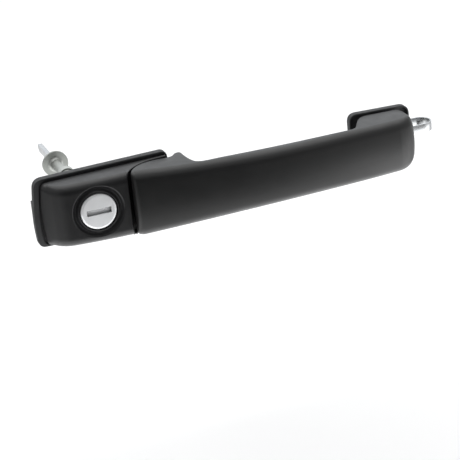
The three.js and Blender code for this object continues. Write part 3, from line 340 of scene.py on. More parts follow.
def stand_for(obj, node, angle=32):
    """obj is the fine version of a CAD node: it rides on the node's body and takes its finish."""
    obj.name = node + "_fine"
    obj.data.name = obj.name
    obj.data.shade_smooth()
    obj.data.set_sharp_from_angle(angle=math.radians(angle))
    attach(obj, BODY_OF[node])
    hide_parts(node)
    obj.data.materials.clear()
    obj.data.materials.append(MATERIALS[SLOT_OF[node]])
    return obj


# ---------------- lofted mouldings
class Path:
    """A two-dimensional path sampled finely; x always grows."""

    def __init__(self, x, y, steps=16):
        self.points = [(x, y)]
        self.steps = steps

    def line(self, x, y, parts=1):
        a = self.points[-1]
        for k in range(1, parts + 1):
            t = k / parts
            self.points.append((a[0] + (x - a[0]) * t, a[1] + (y - a[1]) * t))
        return self

    def curve(self, *coords):
        """A Bezier curve from the last point over control points given as x, y, x, y and so on."""
        points = [np.array(p, float) for p in (self.points[-1], *zip(coords[::2], coords[1::2]))]
        for k in range(1, self.steps + 1):
            level = points
            while len(level) > 1:
                level = [a + (b - a) * k / self.steps for a, b in zip(level, level[1:])]
            self.points.append(tuple(level[0]))
        return self

    def ellipse(self, cx, cy, rx, ry, start, end, parts=None):
        count = parts or self.steps * 2
        for k in range(count + 1):
            a = start + (end - start) * k / count
            self.points.append((cx + rx * math.cos(a), cy + ry * math.sin(a)))
        return self

    def read(self, x):
        xs, ys = self.arrays()
        return float(np.interp(x, xs, ys))

    def arrays(self):
        if not hasattr(self, "_xs"):
            xs = np.array([p[0] for p in self.points], float)
            self._xs = np.maximum.accumulate(xs + np.arange(len(xs)) * 1e-7)
            self._ys = np.array([p[1] for p in self.points], float)
        return self._xs, self._ys


def section(form, x, detail):
    """One cross-section of a moulding: (y, z) points round a rectangle with rounded corners."""
    shift = form["inset"]
    reads = {k: [form[k].read(x + s) for s in (-shift, 0, shift)] for k in ("front", "back")}
    front = max(reads["front"]) + shift
    back = max(front + 0.2, min(reads["back"]) - shift)
    top = max(1, form["top"].read(x) - shift)
    bottom = min(-1, form["bottom"].read(x) + shift)
    fr = max(0.1, min(form["front_radius"](x) - shift, (back - front) * 0.7))
    br = max(0.05, min(form["back_radius"](x), (back - front) * 0.26))
    lift = form["draft"] * (back - front)
    height = min(fr, (top - bottom) * 0.4)
    n, faces = detail

    def corner(y, z, ys, zs, ry, rz, upright):
        turns = [(i if upright else n - i) / n * math.pi / 2 for i in range(n + 1)]
        return [(y + ys * ry * (1 - math.cos(t)), z + zs * rz * (1 - math.sin(t))) for t in turns]

    points = corner(back, bottom, -1, 1, br, br, False) + corner(back, top, -1, -1, br, br, True)
    points += corner(front, top - lift, 1, -1, fr, height, False)
    face_top, face_bottom = top - lift - height, bottom + lift + height
    points += [(front, face_top + (face_bottom - face_top) * i / faces) for i in range(1, faces)]
    points += corner(front, bottom + lift, 1, 1, fr, height, True)
    middle, half, depth = (face_top + face_bottom) / 2, (top - bottom) / 2, back - front
    crowned = []
    for y, z in points:
        fade = min(1, max(0, 1 - (y - front) / (0.8 * depth)))
        crowned.append((y - form["crown"] * (1 - ((z - middle) / half) ** 2) * fade, z))
    return crowned


def stations(form, spacing, closest=0.12):
    xs = set(np.arange(form["left"], form["right"], spacing))
    for k in ("front", "back", "top", "bottom"):
        xs.update(p[0] for p in form[k].points)
    kept = [form["left"]]
    for x in sorted(xs):
        if form["left"] < x < form["right"] - 0.02 and x - kept[-1] > closest:
            kept.append(x)
    return kept + [form["right"]]


def loft(name, form, detail, spacing=2.0, closest=0.12):
    xs = stations(form, spacing, closest)
    rows = [section(form, x, detail) for x in xs]
    sides = len(rows[0])
    verts = [(x, y, z) for x, row in zip(xs, rows) for y, z in row]
    return mesh_object(name, verts, skin(len(xs), sides))


def cover_front(x):
    return Cover.face + (x - Cover.crown_x) ** 2 / (2 * Cover.crown_radius)


def cover_top(x):
    return Cover.top + Cover.top_slope * x


def cover_bottom(x):
    return Cover.bottom + Cover.bottom_slope * x


SEAM_ANGLE = math.pi - math.asin((Cover.face - SEAM_Y) / SEAM_COVER_Y)
FACE_END = SEAM_X + SEAM_COVER_X * math.cos(SEAM_ANGLE)


def cover_form(shift, back):
    left, right, near, corner = Cover.left, Cover.right, Cover.left_front, Cover.corner_radius
    lean, high, low = Cover.lean, Cover.top_radius, Cover.bottom_radius
    side = Vector((left - near, Cover.rim - 0.6 - cover_front(near))).normalized() * corner
    front = Path(left, Cover.rim - 0.6)
    front.line(near + side.x, cover_front(near) + side.y, 8)
    front.curve(near, cover_front(near), near + corner, cover_front(near + corner))
    for x in np.arange(near + corner + 1, FACE_END, 1.5):
        front.line(x, cover_front(x))
    front.ellipse(SEAM_X, SEAM_Y, SEAM_COVER_X, SEAM_COVER_Y, SEAM_ANGLE, math.pi / 2, 40)
    front.line(right, Cover.ramp, 3)
    top = Path(left, Cover.top_start).line(left + lean, cover_top(left) - high, 6)
    top.curve(left + 1.4 * lean, cover_top(left), left + lean + high, cover_top(left + high))
    top.line(right, cover_top(right), 4)
    bottom = Path(left, Cover.bottom_start).line(left + lean, low - cover_bottom(left), 6)
    bottom.curve(left + 1.4 * lean, -cover_bottom(left), left + lean + low, -cover_bottom(left + low))
    bottom.line(right, -cover_bottom(right), 4)

    def front_radius(x):
        t = min(1, max(0, (x - FACE_END) / SEAM_EASE))
        t = t * t * (3 - 2 * t)
        return Cover.edge_radius + (Cover.back_radius - Cover.edge_radius) * t

    return dict(front=front, back=Path(left, back + shift).line(right, back + shift), top=top, bottom=bottom,
                inset=shift, left=left + shift, right=SEAM_X - 3 if shift > 0 else right,
                front_radius=front_radius, back_radius=lambda x: Cover.back_radius, draft=Cover.draft,
                crown=0)


def mix(a, b, t):
    return a + (b - a) * t


def smooth(a, b, t):
    t = min(1, max(0, (t - a) / (b - a)))
    return t * t * (3 - 2 * t)


def dish_depth(r):
    """How far the cover's face sinks at r from the lock's axis: a rolled collar in a round dish."""
    if r <= 13.4:
        return 0.3 * (1 - smooth(11.25, 11.55, r)) + 1.8 * smooth(11.5, 13.3, r)
    return 1.8 * (1 - smooth(13.5, 15.6, r))


def cover_surface(form, x, z):
    """The cover's front at any point of its face and its rounded upper and lower edges."""
    front = form["front"].read(x)
    back = form["back"].read(x)
    top, bottom = form["top"].read(x), form["bottom"].read(x)
    lift = form["draft"] * (back - front)
    radius = min(form["front_radius"](x), (back - front) * 0.7)
    height = min(radius, (top - bottom) * 0.4)
    beyond = max(0.0, z - (top - lift - height), (bottom + lift + height) - z) / height
    return front + radius * (1 - math.sqrt(max(0.0, 1 - min(beyond, 1) ** 2)))


def cover_outside():
    """The cover's outer form; the face round the lock is rebuilt as rings that carry the dish and bore."""
    form = cover_form(0, Cover.rim)
    detail = (12, 34)
    xs = stations(form, 0.8, 0.1)
    rows = [section(form, x, detail) for x in xs]
    sides = len(rows[0])
    verts = [(x, y, z) for x, row in zip(xs, rows) for y, z in row]
    reach, widest = 17.0, 16.3
    i0 = max(i for i, x in enumerate(xs) if x <= LOCK_X - reach)
    i1 = min(i for i, x in enumerate(xs) if x >= LOCK_X + reach)
    facing = [k for k in range(2 * (detail[0] + 1) + 1, sides) if abs(rows[i0][k][1]) < reach]
    k0, k1 = min(facing) - 1, max(facing) + 1
    quads = (len(xs) - 1) * sides
    faces = [face for q, face in enumerate(skin(len(xs), sides))
             if q >= quads or not (i0 <= q // sides < i1 and k0 <= q % sides < k1)]
    loop = [i * sides + k0 for i in range(i0, i1)] + [i1 * sides + k for k in range(k0, k1)]
    loop += [i * sides + k1 for i in range(i1, i0, -1)] + [i0 * sides + k for k in range(k1, k0, -1)]
    edge = [(verts[v][0] - LOCK_X, verts[v][2]) for v in loop]
    rings = [(widest, share) for share in (0.85, 0.7, 0.55, 0.4, 0.25, 0.1, 0)]
    rings += [(radius, 0) for radius in np.arange(widest - 0.25, 13.2, -0.25)]
    rings += [(radius, 0) for radius in np.arange(13.1, LOCK_BORE + 0.05, -0.12)] + [(LOCK_BORE + 0.02, 0)]
    layers = []
    for radius, share in rings:
        layer = []
        for u, w in edge:
            scale = (1 - share) * radius / math.hypot(u, w) + share
            x, z = LOCK_X + u * scale, w * scale
            layer.append((x, cover_surface(form, x, z) + dish_depth(math.hypot(u, w) * scale), z))
        layers.append(layer)
    for depth in (-21.2, -19.0, -16.0, -13.0):
        scales = [LOCK_BORE / math.hypot(u, w) for u, w in edge]
        layers.append([(LOCK_X + u * scale, depth, w * scale) for (u, w), scale in zip(edge, scales)])
    last, count = loop, len(loop)
    for layer in layers:
        ring = list(range(len(verts), len(verts) + count))
        verts += layer
        faces += [(last[k], last[(k + 1) % count], ring[(k + 1) % count], ring[k]) for k in range(count)]
        last = ring
    faces.append(tuple(reversed(last)))
    return mesh_object("cover", verts, faces)


def passage(y0, y1):
    return block("passage", PASSAGE.left, PASSAGE.right, y0, y1, -PASSAGE.half, PASSAGE.half)


def seam_lip():
    lip = SEAM_LIP
    turns = [math.radians(a) for a in np.linspace(lip.start, lip.end, 40)]
    outline = [(SEAM_X + lip.outer * math.cos(t), SEAM_Y + lip.outer * math.sin(t)) for t in turns]
    outline += [(SEAM_X + lip.inner * math.cos(t), SEAM_Y + lip.inner * math.sin(t)) for t in turns[::-1]]
    return slab("lip", "Z", outline, lip.bottom, lip.top, 0.15)


def lock_housing_cover():
    body = cover_outside()
    inner = loft("inner", cover_form(Cover.wall, Cover.rim + 1), (5, 4), 3)
    sleeve = bar("sleeve", "Y", LOCK, DISH_OUTER + 0.7, Cover.boss_front, Cover.boss_back, FINE)
    bosses = [bar("boss", "Y", at, 3.2, Cover.face + 5, -9.8) for at in SCREWS]
    hollow = cut(inner, sleeve, *bosses)
    holes = [bar("hole", "Y", at, SCREW.shank + GAP, -16, 0) for at in SCREWS]
    holes += [bar("hole", "Y", (BUFFER.x, side * BUFFER.z), BUFFER.stem + 0.1, -FAR, 0) for side in (-1, 1)]
    bore = bar("bore", "Y", LOCK, LOCK_BORE - 0.05, -14, 0, FINE)
    body = join(cut(body, hollow), seam_lip())
    body = cut(body, bore, passage(-FAR, 0), *holes)
    return stand_for(body, "lock_housing_cover", 38)


# ---------------- flange, gaskets and carrier
def rim_outline(top, bottom, left, radius):
    """The outline round the cover's rim, grown outwards; its left side is bowed."""
    x, right = Cover.left - left, Cover.right + top
    corner = radius * 0.75
    return eased([(x + 1.6, cover_top(x) + top, radius), (x - 1.1, -5, 9),
                  (x + 0.2, -cover_bottom(x) - bottom, corner),
                  (right, -cover_bottom(right) - bottom, corner),
                  (right, cover_top(right) + top, corner)], 14)


def lock_gasket():
    body = slab("gasket", "Y", rim_outline(**GASKET_RIM), -GASKET_THICK - GASKET_LIP, 0, 0.4, 5)
    well = slab("well", "Y", rim_outline(**GASKET_WELL), -FAR, -GASKET_THICK)
    sleeve = bar("sleeve", "Y", LOCK, CARRIER.sleeve + GAP, -FAR, FAR, FINE)
    ears = block("ears", EAR.left - GAP, EAR.right_end + GAP, -FAR, FAR, EAR.bottom - GAP, ARM.top + 3)
    rib = block("rib", BOSS.rib_left - 1, LOCK_X, -FAR, FAR, BOSS.bottom - 1, BOSS.top + 1)
    cut_each(body, (well, sleeve, ears, rib))
    return stand_for(body, "lock_gasket")


def lock_carrier():
    c, b, e = CARRIER, BOSS, EAR
    body = slab("carrier", "Y", rim_outline(**FLANGE_RIM), FLANGE_FRONT, FLANGE_BACK, 0.25)
    parts = [block("web", c.left, c.right, c.front, FLANGE_FRONT + 0.1, -c.half, c.half),
             bar("sleeve", "Y", LOCK, c.sleeve, c.front, c.sleeve_back, FINE, 0.4),
             block("rib", b.rib_left, LOCK_X, FLANGE_BACK - 0.5, c.sleeve_back, b.bottom, b.top, 0.4),
             block("boss", b.left, b.right, b.front, b.back, b.bottom, b.top, 0.6)]
    ear = eased([(FLANGE_FRONT, e.bottom), (e.back, e.bottom, 3.5), (e.back, e.top, 3.5),
                 (FLANGE_FRONT, e.top)])
    parts += [slab("ear", "X", ear, x0, x1, 0.2) for x0, x1 in ((e.left, e.left_end), (e.right, e.right_end))]
    for part in parts:
        join(body, part)
    tools = [bar("bore", "Y", LOCK, BARREL.radius + GAP, -FAR, FAR, FINE),
             bar("pivot", "X", (LEVER.y, LEVER.z), LEVER_PIN.radius + 0.1, 0, 30),
             bar("hole", "X", ((b.front + b.back) / 2, b.hole_z), b.hole, b.left - 1, b.left + b.depth)]
    for at in SCREWS:
        tools.append(bar("shank", "Y", at, SCREW.shank + GAP, -FAR, FAR))
        tools.append(bar("head", "Y", at, SCREW.head + GAP, -6.2, FAR))
    tools.append(passage(-FAR, 0))
    cut_each(body, tools)
    return stand_for(body, "lock_carrier", 30)


def thread(radius, y, end, pitch, rises):
    """Ring-shaped thread crests from y to end; rises are the four corners of one crest and its root."""
    profile = []
    while y < end:
        profile += [(radius * share, y + rise) for share, rise in zip((1, 0.86, 0.86, 1), rises)]
        y += pitch
    return profile


def socket_screw(node, at, s):
    """A screw of sizes s along Y with a hexagon socket; its head is towards +Y."""
    y = s.tip + 1.0
    profile = [(0, s.tip), (s.shank * 0.55, s.tip), (s.shank * 0.98, y)]
    profile += thread(s.shank, y, s.seat - 1.2, 0.6, (0.12, 0.3, 0.36, 0.54))
    crown = (s.top - s.seat) * 0.3
    profile += [(s.shank * 0.9, s.seat - 0.5), (s.shank, s.seat), (s.head * 0.96, s.seat),
                (s.head, s.seat + 0.15), (s.head, s.top - crown), (s.head * 0.93, s.top - 0.12),
                (s.head * 0.8, s.top), (0, s.top)]
    body = revolve(node, profile, "Y", at, SMALL)
    cut(body, bar("socket", "Y", at, 1.2, s.top - s.socket_depth, s.top + 5, 6, 0))
    return stand_for(body, node, 30)


def cover_screws():
    for i, at in enumerate(SCREWS):
        socket_screw(f"cover_screw_{i + 1}", at, SCREW)


def grip_buffers():
    back, neck, front = FLANGE_FRONT - GAP, Cover.ramp - 0.05, Cover.ramp - 0.7
    stem, head = BUFFER.stem, BUFFER.head
    profile = eased([(0, front), (head, front, 0.4), (head, neck, 0.1), (stem, neck, 0.1), (stem, back, 0.3),
                     (0, back)], 4, closed=False)
    for node, side in (("grip_buffer_upper", 1), ("grip_buffer_lower", -1)):
        stand_for(revolve(node, profile, "Y", (BUFFER.x, side * BUFFER.z), SMALL), node)


# ---------------- lock
def on_lock(name, half_x, y0, y1, half_z, edge=0.0):
    """A block centred on the lock's axis."""
    return block(name, LOCK_X - half_x, LOCK_X + half_x, y0, y1, -half_z, half_z, edge)


def lock_barrel():
    b = BARREL
    groove, bore_front = b.radius - 1.1, b.flange_back + 0.1
    barrel = eased([
        (b.fit, b.front, .2), (b.flange, b.front, .3), (b.flange, b.flange_back, .3),
        (b.radius, b.flange_back, .2), (b.radius, CLIP.groove[0], .1), (groove, CLIP.groove[0], .1),
        (groove, CLIP.groove[1], .1), (b.radius, CLIP.groove[1], .1), (b.radius, b.step, .5),
        (b.tail, b.step, .3), (b.tail, b.back, .3), (b.fit, b.back, .2), (b.fit, b.step),
        (b.bore, b.step - 1), (b.bore, bore_front), (b.fit, bore_front)], 3)
    stand_for(revolve("barrel", barrel, closed=True), "lock_barrel_housing", 28)
    clip = tube_ring("clip", "Y", LOCK, b.radius - 0.8, CLIP.radius, CLIP.front, CLIP.back)
    cut(clip, block("mouth", LOCK_X - 8, LOCK_X + 8, 10, 12, -20, -3))
    stand_for(clip, "barrel_retaining_clip")
    stand_for(tube_ring("seal", "Y", LOCK, 11.2, 12.5, -13.1, -12.1, MEDIUM, 0.4), "lock_face_seal")


def lock_plug():
    p, w = PLUG, WAFER
    plug = eased([(0, p.front), (p.flange, p.front, .3), (p.flange, p.flange_back, .2),
                  (p.radius, p.flange_back), (p.radius, p.back, .4), (p.neck, p.back, .2),
                  (p.neck, p.neck_end, .3), (0, p.neck_end)], 3, closed=False)
    body = revolve("plug", plug)
    join(body, on_lock("tang", p.tang, p.neck_end - 1, p.tang_end, p.tang, 0.2))
    cut(body, on_lock("keyway", KEYWAY.half_width, -FAR, KEYWAY.end, KEYWAY.half_height))
    centres = [w.first + w.pitch * i for i in range(w.count)]
    for y in centres:
        cut(body, on_lock("slot", 8, y - w.half_thick - 0.2, y + w.half_thick + 0.2, w.half_height + 0.2))
    stand_for(body, "lock_plug", 28)
    for i, y in enumerate(centres):
        side = -1 if i % 2 == 0 else 1
        disc = bar("disc", "Y", LOCK, p.radius, -FAR, FAR, FINE, 0)
        wafer = on_lock("wafer", w.half_length, y - w.half_thick, y + w.half_thick, w.half_height, 0.06)
        combine(wafer, [disc], "INTERSECT")
        cut(wafer, on_lock("window", w.window[0], -FAR, FAR, w.window[1]))
        wafer.data.transform(Matrix.Translation((side * w.stand_out * MM, 0, 0)))
        stand_for(wafer, f"wafer_{i + 1}")
    ring = tube_ring("circlip", "Y", LOCK, 4.4, 8, 27.3, 28.2)
    cut(ring, block("gap", LOCK_X - 1.6, LOCK_X + 1.6, 27, 29, -9, 0))
    stand_for(ring, "plug_circlip")
    coil("lock_return_spring", "Y", LOCK, 29, 5.5, 1.05, 2.6, 0.8, 110, spin=-1)


def lock_face():
    r, bore, back, plate = CAP.radius, CAP.bore, CAP.back, CAP.plate_back
    cap = eased([(0, FACE_Y), (9.6, FACE_Y, .5), (10.38, FACE_Y + 0.42, .35), (r, FACE_Y + 1.2, .4),
                 (r, back, .15), (bore, back, .15), (bore, plate), (0, plate)], 6, closed=False)
    body = revolve("cap", cap, flats=128)
    left, right, high = LOCK_X - SLOT.half_width, LOCK_X + SLOT.half_width, SLOT.half_height
    slot = eased([(left, -high, .35), (right, -high, .35), (right, high, .35), (left, high, .35)], 4)
    cut(body, slab("slot", "Y", slot, -FAR, 0))
    stand_for(body, "lock_face_cap", 40)

    h = SHUTTER
    left, right = LOCK_X - h.half, LOCK_X + h.half
    plate = eased([(h.front, h.bottom, .2), (h.back, h.bottom, .25), (h.back, h.pivot[1]),
                   (h.front, h.pivot[1])], 4)
    shutter = slab("shutter", "X", plate, left, right, 0.1)
    join(shutter, bar("sleeve", "X", h.pivot, h.tube, left, right, MEDIUM, 0.1))
    drill(shutter, "X", h.pivot, h.pin + 0.1, LOCK_X - 20, LOCK_X + 20)
    stand_for(shutter, "key_shutter")
    pin = bar("pin", "X", h.pivot, h.pin, LOCK_X - h.pin_half, LOCK_X + h.pin_half, 20, 0.1)
    stand_for(pin, "shutter_pin")


def lock_tail():
    t, b, slack = TAIL, BLADE, 0.25
    tail = eased([
        (0, t.front), (t.shank, t.front, .2), (t.shank, t.collar, .1), (t.hub, t.collar, .25),
        (t.hub, t.hub_back, .4), (t.neck, t.hub_back + t.fillet, .4), (t.neck, t.disc_front - t.fillet, .6),
        (t.neck + t.fillet, t.disc_front, .6), (t.disc, t.disc_front, .25), (t.disc, t.disc_back, .25),
        (0, t.disc_back)], 5, closed=False)
    body = revolve("tail", tail)
    socket = PLUG.tang + slack
    cut(body, on_lock("socket", socket, 30, PLUG.tang_end + GAP, socket))
    cut(body, on_lock("slot", b.half_thick + slack, b.start - GAP, 80, b.half_width + slack))
    stand_for(body, "lock_tail_shaft", 32)
    w = b.half_width
    blade = eased([(b.start, -w), (b.lower_tip, -w, .4), (b.tip, 0, .3), (b.tip, w, .2), (b.start, w)], 4)
    blade = slab("blade", "X", blade, LOCK_X - b.half_thick, LOCK_X + b.half_thick, 0.12)
    stand_for(blade, "lock_tail_blade")


# ---------------- grip
def grip_front(x):
    return Grip.front + (x - Grip.bow_x) ** 2 / (2 * Grip.bow_radius)


GRIP_LEFT_Y = grip_front(SEAM_X - SEAM_GRIP_RADIUS) + Grip.front_corner
GRIP_LEFT = SEAM_X - math.sqrt(SEAM_GRIP_RADIUS ** 2 - (GRIP_LEFT_Y - SEAM_Y) ** 2)


def grip_rim(level, rise, reach, drop, left_corner, end_radius):
    left, right, side = GRIP_LEFT, Grip.right, left_corner

    def height(x):
        return level + rise * (1 - min(1, max(0, x / reach))) ** 2 - drop * max(0, x - FOOT.left)

    path = Path(left, height(left) - side)
    path.curve(left, height(left), left + side, height(left + side))
    for x in np.arange(left + side + 1, right - end_radius, 2.0):
        path.line(x, height(x))
    return path.curve(right, height(right), right, height(right) - end_radius)


def grip_form(shift):
    left, right, corner = GRIP_LEFT, Grip.right, Grip.front_corner
    end = right - Grip.end_length
    front = Path(left, GRIP_LEFT_Y).curve(left, grip_front(left), left + corner, grip_front(left + corner))
    for x in np.arange(left + corner + 1, end, 2.0):
        front.line(x, grip_front(x))
    front.line(end, grip_front(end))
    base = grip_front(end)
    front.curve(end + Grip.end_length * 0.6, base + 1.6, right, base + Grip.end_depth * 0.4,
                right, base + Grip.end_depth)
    start = math.pi - math.asin((GRIP_LEFT_Y - SEAM_Y) / SEAM_GRIP_RADIUS)
    fin, dip, foot, end_back = FIN, DIP, FOOT, Grip.end_back
    back = Path(left, GRIP_LEFT_Y)
    back.ellipse(SEAM_X, SEAM_Y, SEAM_GRIP_RADIUS, SEAM_GRIP_RADIUS, start, math.pi / 2, 48)
    back.curve(fin.foot - 4, back.points[-1][1], fin.foot - 1.5, fin.foot_y - 1.7, fin.foot, fin.foot_y)
    back.curve(fin.foot + 1.5, fin.foot_y + 1.9, fin.tip - 2.4, fin.y, fin.tip, fin.y)
    back.curve(fin.right - 0.05, fin.y, fin.right, fin.right_y)
    back.curve(fin.right + 0.1, mix(fin.right_y, dip.y, 0.67), fin.right + 1.6, dip.y, dip.x, dip.y)
    back.curve(mix(dip.x, dip.right, 0.4), dip.y, mix(dip.x, dip.right, 0.6), Grip.back, dip.right, Grip.back)
    back.line(foot.left, Grip.back, 40)
    back.curve(mix(foot.left, foot.back, 0.35), Grip.back, mix(foot.left, foot.back, 0.45), end_back,
               foot.back, end_back)
    back.line(right - Grip.back_corner, end_back, 12)
    back.curve(right, end_back, right, end_back - Grip.back_corner)

    def back_radius(x):
        if x < foot.left:
            return mix(Grip.fin_edge, Grip.back_edge, min(1, max(0, (x - fin.right) / 3)))
        return mix(Grip.back_edge, Grip.foot_edge, min(1, (x - foot.left) / (foot.back - foot.left)))

    bottom = grip_rim(**Grip.bottom_edge)
    bottom.points = [(x, -z) for x, z in bottom.points]
    return dict(front=front, back=back, top=grip_rim(**Grip.top_edge), bottom=bottom, inset=shift,
                left=left + shift, right=right - shift, front_radius=lambda x: Grip.edge_radius, draft=0,
                back_radius=back_radius, crown=Grip.crown)


def grip_shell():
    body = loft("grip", grip_form(0), (12, 16), 1.0, 0.05)
    w, a, h = WINDOW, ARM, HINGE
    tools = [loft("hollow", grip_form(Grip.wall), (4, 4), 4),
             block("window", w.left, w.right, Grip.back - 5, 0, -w.half, w.half),
             block("arm", a.left - GAP, a.right + GAP, -20, 0, a.bottom - GAP, a.top + GAP),
             block("post", h.x - h.post - GAP, h.x + h.post + GAP, -20, 0, h.bottom - GAP, h.top + GAP)]
    cut_each(body, tools)
    return stand_for(body, "grip_shell", 38)


def grip_core():
    left, right, high = WINDOW.left + GAP, WINDOW.right - GAP, WINDOW.half - GAP
    rim = eased([(left, -high, .8), (right, -high, .8), (right, high, .8), (left, high, .8)], 5)
    stand_for(slab("inner_cover", "Y", rim, Grip.back - WINDOW.thick, Grip.back, 0.35, 4), "grip_inner_cover")
    core = block("core", CORE.left, CORE.right, CORE.front, CORE.back, -CORE.half, CORE.half, 0.15)
    for x in GRIP_SCREWS.values():
        drill(core, "Y", (x, 0), GRIP_SCREW_HOLE)
    stand_for(core, "grip_core")
    for node, x in GRIP_SCREWS.items():
        socket_screw(node, (x, 0), GRIP_SCREW)


LEAN = math.radians(LEVER.lean)
NOSE = (LEVER.y + LEVER.reach * math.sin(LEAN), LEVER.z + LEVER.reach * math.cos(LEAN))


def pull_arm():
    a, (y, z) = ARM, NOSE
    front = CORE.back + GAP
    outline = eased([(front, a.bottom, 1), (a.end, a.bottom, 3), (a.end, a.end_top, 2), (y - 8, a.end_top, 2),
                     (y - 12, a.top, 2), (front, a.top, 1)])
    arm = slab("arm", "X", outline, a.left, a.right, 0.3)
    clear = LEVER.nose + 0.5
    bottom, top = z - clear, LEVER.z + LEVER.reach + clear
    slot = eased([(y - clear, bottom, 1.5), (y + clear, bottom, 1.5), (y + clear, top, 1.5),
                  (y - clear, top, 1.5)])
    cut(arm, slab("slot", "X", slot, 0, 30))
    join(arm, block("foot", a.left, a.foot_right, front, a.foot_back, a.bottom, a.top, 0.3))
    for screw in ("arm_screw_1", "arm_screw_2"):
        drill(arm, "Y", (GRIP_SCREWS[screw], 0), GRIP_SCREW_HOLE)
    stand_for(arm, "pull_arm", 30)


def hinge_knuckle():
    h, front, back = HINGE, CORE.back + GAP, ARM.foot_back
    axis = (h.x, h.y)
    knuckle = bar("knuckle", "Z", axis, h.knuckle, h.bottom, h.top, MEDIUM, 0.3)
    join(knuckle, block("post", h.x - h.post, h.x, back - 1, h.y, h.bottom, h.top, 0.2))
    join(knuckle, block("post", h.x - 1, h.x + h.post, back + 2, h.y, h.bottom, h.top, 0.2))
    join(knuckle, block("foot", h.foot_left, h.x - 3, front, back, -CORE.half, CORE.half, 0.2))
    drill(knuckle, "Y", (GRIP_SCREWS["knuckle_screw"], 0), GRIP_SCREW_HOLE)
    drill(knuckle, "Z", axis, h.bush + FIT, -20, 20, MEDIUM)
    stand_for(knuckle, "hinge_knuckle", 30)
    stand_for(tube_ring("bush", "Z", axis, h.pin + FIT, h.bush, h.bottom, h.top), "hinge_bush")


# ---------------- release lever
def release_lever():
    lever, half, pivot = LEVER, LEVER.half, (LEVER.y, LEVER.z)
    left, plate, out_z = lever.left, lever.plate, lever.z - lever.out
    across = np.array([math.cos(LEAN), -math.sin(LEAN)]) * half
    base, tip = np.array(pivot), np.array(NOSE)
    arm = [tuple(base - across), tuple(base + across), tuple(tip + across), tuple(tip - across)]
    body = slab("lever", "X", arm, left, plate)
    boss = (out_z - lever.boss_half, out_z + lever.boss_half)
    join(body, bar("nose", "X", NOSE, half, left, plate, MEDIUM, 0))
    join(body, bar("hub", "X", pivot, lever.hub, left, lever.hub_right, MEDIUM, 0.3))
    join(body, block("out", left, plate, lever.y - half, lever.y + half, out_z - lever.out_end, lever.z, 0.2))
    join(body, block("boss", left, ADJUSTER.x + 4, *ADJUSTER.boss, *boss, 0.4))
    drill(body, "X", pivot, LEVER_PIN.radius + 0.1, 0, 30)
    drill(body, "X", NOSE, lever.nose + 0.1, left + 0.5, 30)
    drill(body, "Y", (ADJUSTER.x, out_z), ADJUSTER.radius + 0.1, 0, 40)
    stand_for(body, "release_lever", 30)
    stand_for(bar("pin", "X", NOSE, lever.nose, left + 0.8, lever.nose_right, SMALL, 0.25), "lever_nose_pin")

    p = LEVER_PIN
    pin = eased([(0, p.left), (p.radius, p.left, .3), (p.radius, p.head_left), (p.head, p.head_left, .3),
                 (p.head, p.right, .4), (0, p.right)], 4, closed=False)
    stand_for(revolve("pivot", pin, "X", pivot, SMALL), "lever_pivot_pin", 30)
    start = lever.hub_right + 0.75
    coil("lever_return_spring", "X", pivot, start, 2.9, 1.15, 3, 0.8, 120, phase=-math.pi / 2)


def adjuster():
    at = (ADJUSTER.x, LEVER.z - LEVER.out)
    r, front, back = ADJUSTER.radius, ADJUSTER.front, ADJUSTER.back
    profile = [(0, front), (r * 0.9, front)]
    profile += thread(r, front + 0.3, back - 1.6, 0.8, (0.15, 0.4, 0.45, 0.7))
    profile += [(r * 0.92, back - 0.6), (r * 0.8, back), (0, back)]
    screw = revolve("adjuster", profile, "Y", at, SMALL)
    join(screw, bar("head", "Y", at, r + 1.2, front - 2, front + 0.1, 6, 0.2))
    stand_for(screw, "adjusting_screw", 30)
    nut = bar("nut", "Y", at, ADJUSTER.nut_radius, *ADJUSTER.nut, 6, 0.2)
    drill(nut, "Y", at, r + FIT, 0, 40)
    stand_for(nut, "adjusting_nut", 30)


# ---------------- hinge end
def hinge_gasket():
    g = HINGE_GASKET

    def outline(inward):
        radius, left, right = g.radius - inward, g.left + inward, g.right - inward
        a, b, c, d = g.corners
        return eased([(left, a - inward, radius), (left, b + inward, radius),
                      (right, c + inward, radius), (right, d - inward, radius)], 14)

    body = slab("hinge_gasket", "Y", outline(0), g.front, 0, 0.35, 5)
    cut(body, slab("well", "Y", outline(g.lip), -FAR, g.web))
    cut(body, block("opening", BRACKET.left - 1, g.opening, -FAR, FAR, -BRACKET.half - 1, BRACKET.half))
    stand_for(body, "hinge_gasket")


def hinge_bracket():
    b, h, axis = BRACKET, HINGE, (HINGE.x, HINGE.y)
    body = block("bracket", b.left, b.right, b.bridge, b.back, -b.half, b.half, 0.4)
    for z0, z1 in ((-b.half, -b.cheek), (b.cheek, b.half)):
        join(body, block("cheek", b.left, b.right, b.front, b.bridge + 0.4, z0, z1, 0.3))
    drill(body, "Z", axis, h.pin + FIT)
    drill(body, "Y", (STRAP.rivet_x, STRAP.z), STRAP.rivet + 0.1, 0, FAR)
    stand_for(body, "hinge_bracket", 30)
    stand_for(bar("pin", "Z", axis, h.pin, -h.pin_half, h.pin_half, SMALL, 0.4), "hinge_pin")
    coil("grip_return_spring", "Z", axis, h.top + 0.8, 3.6, 1.1, 3.4, 0.9, 140)


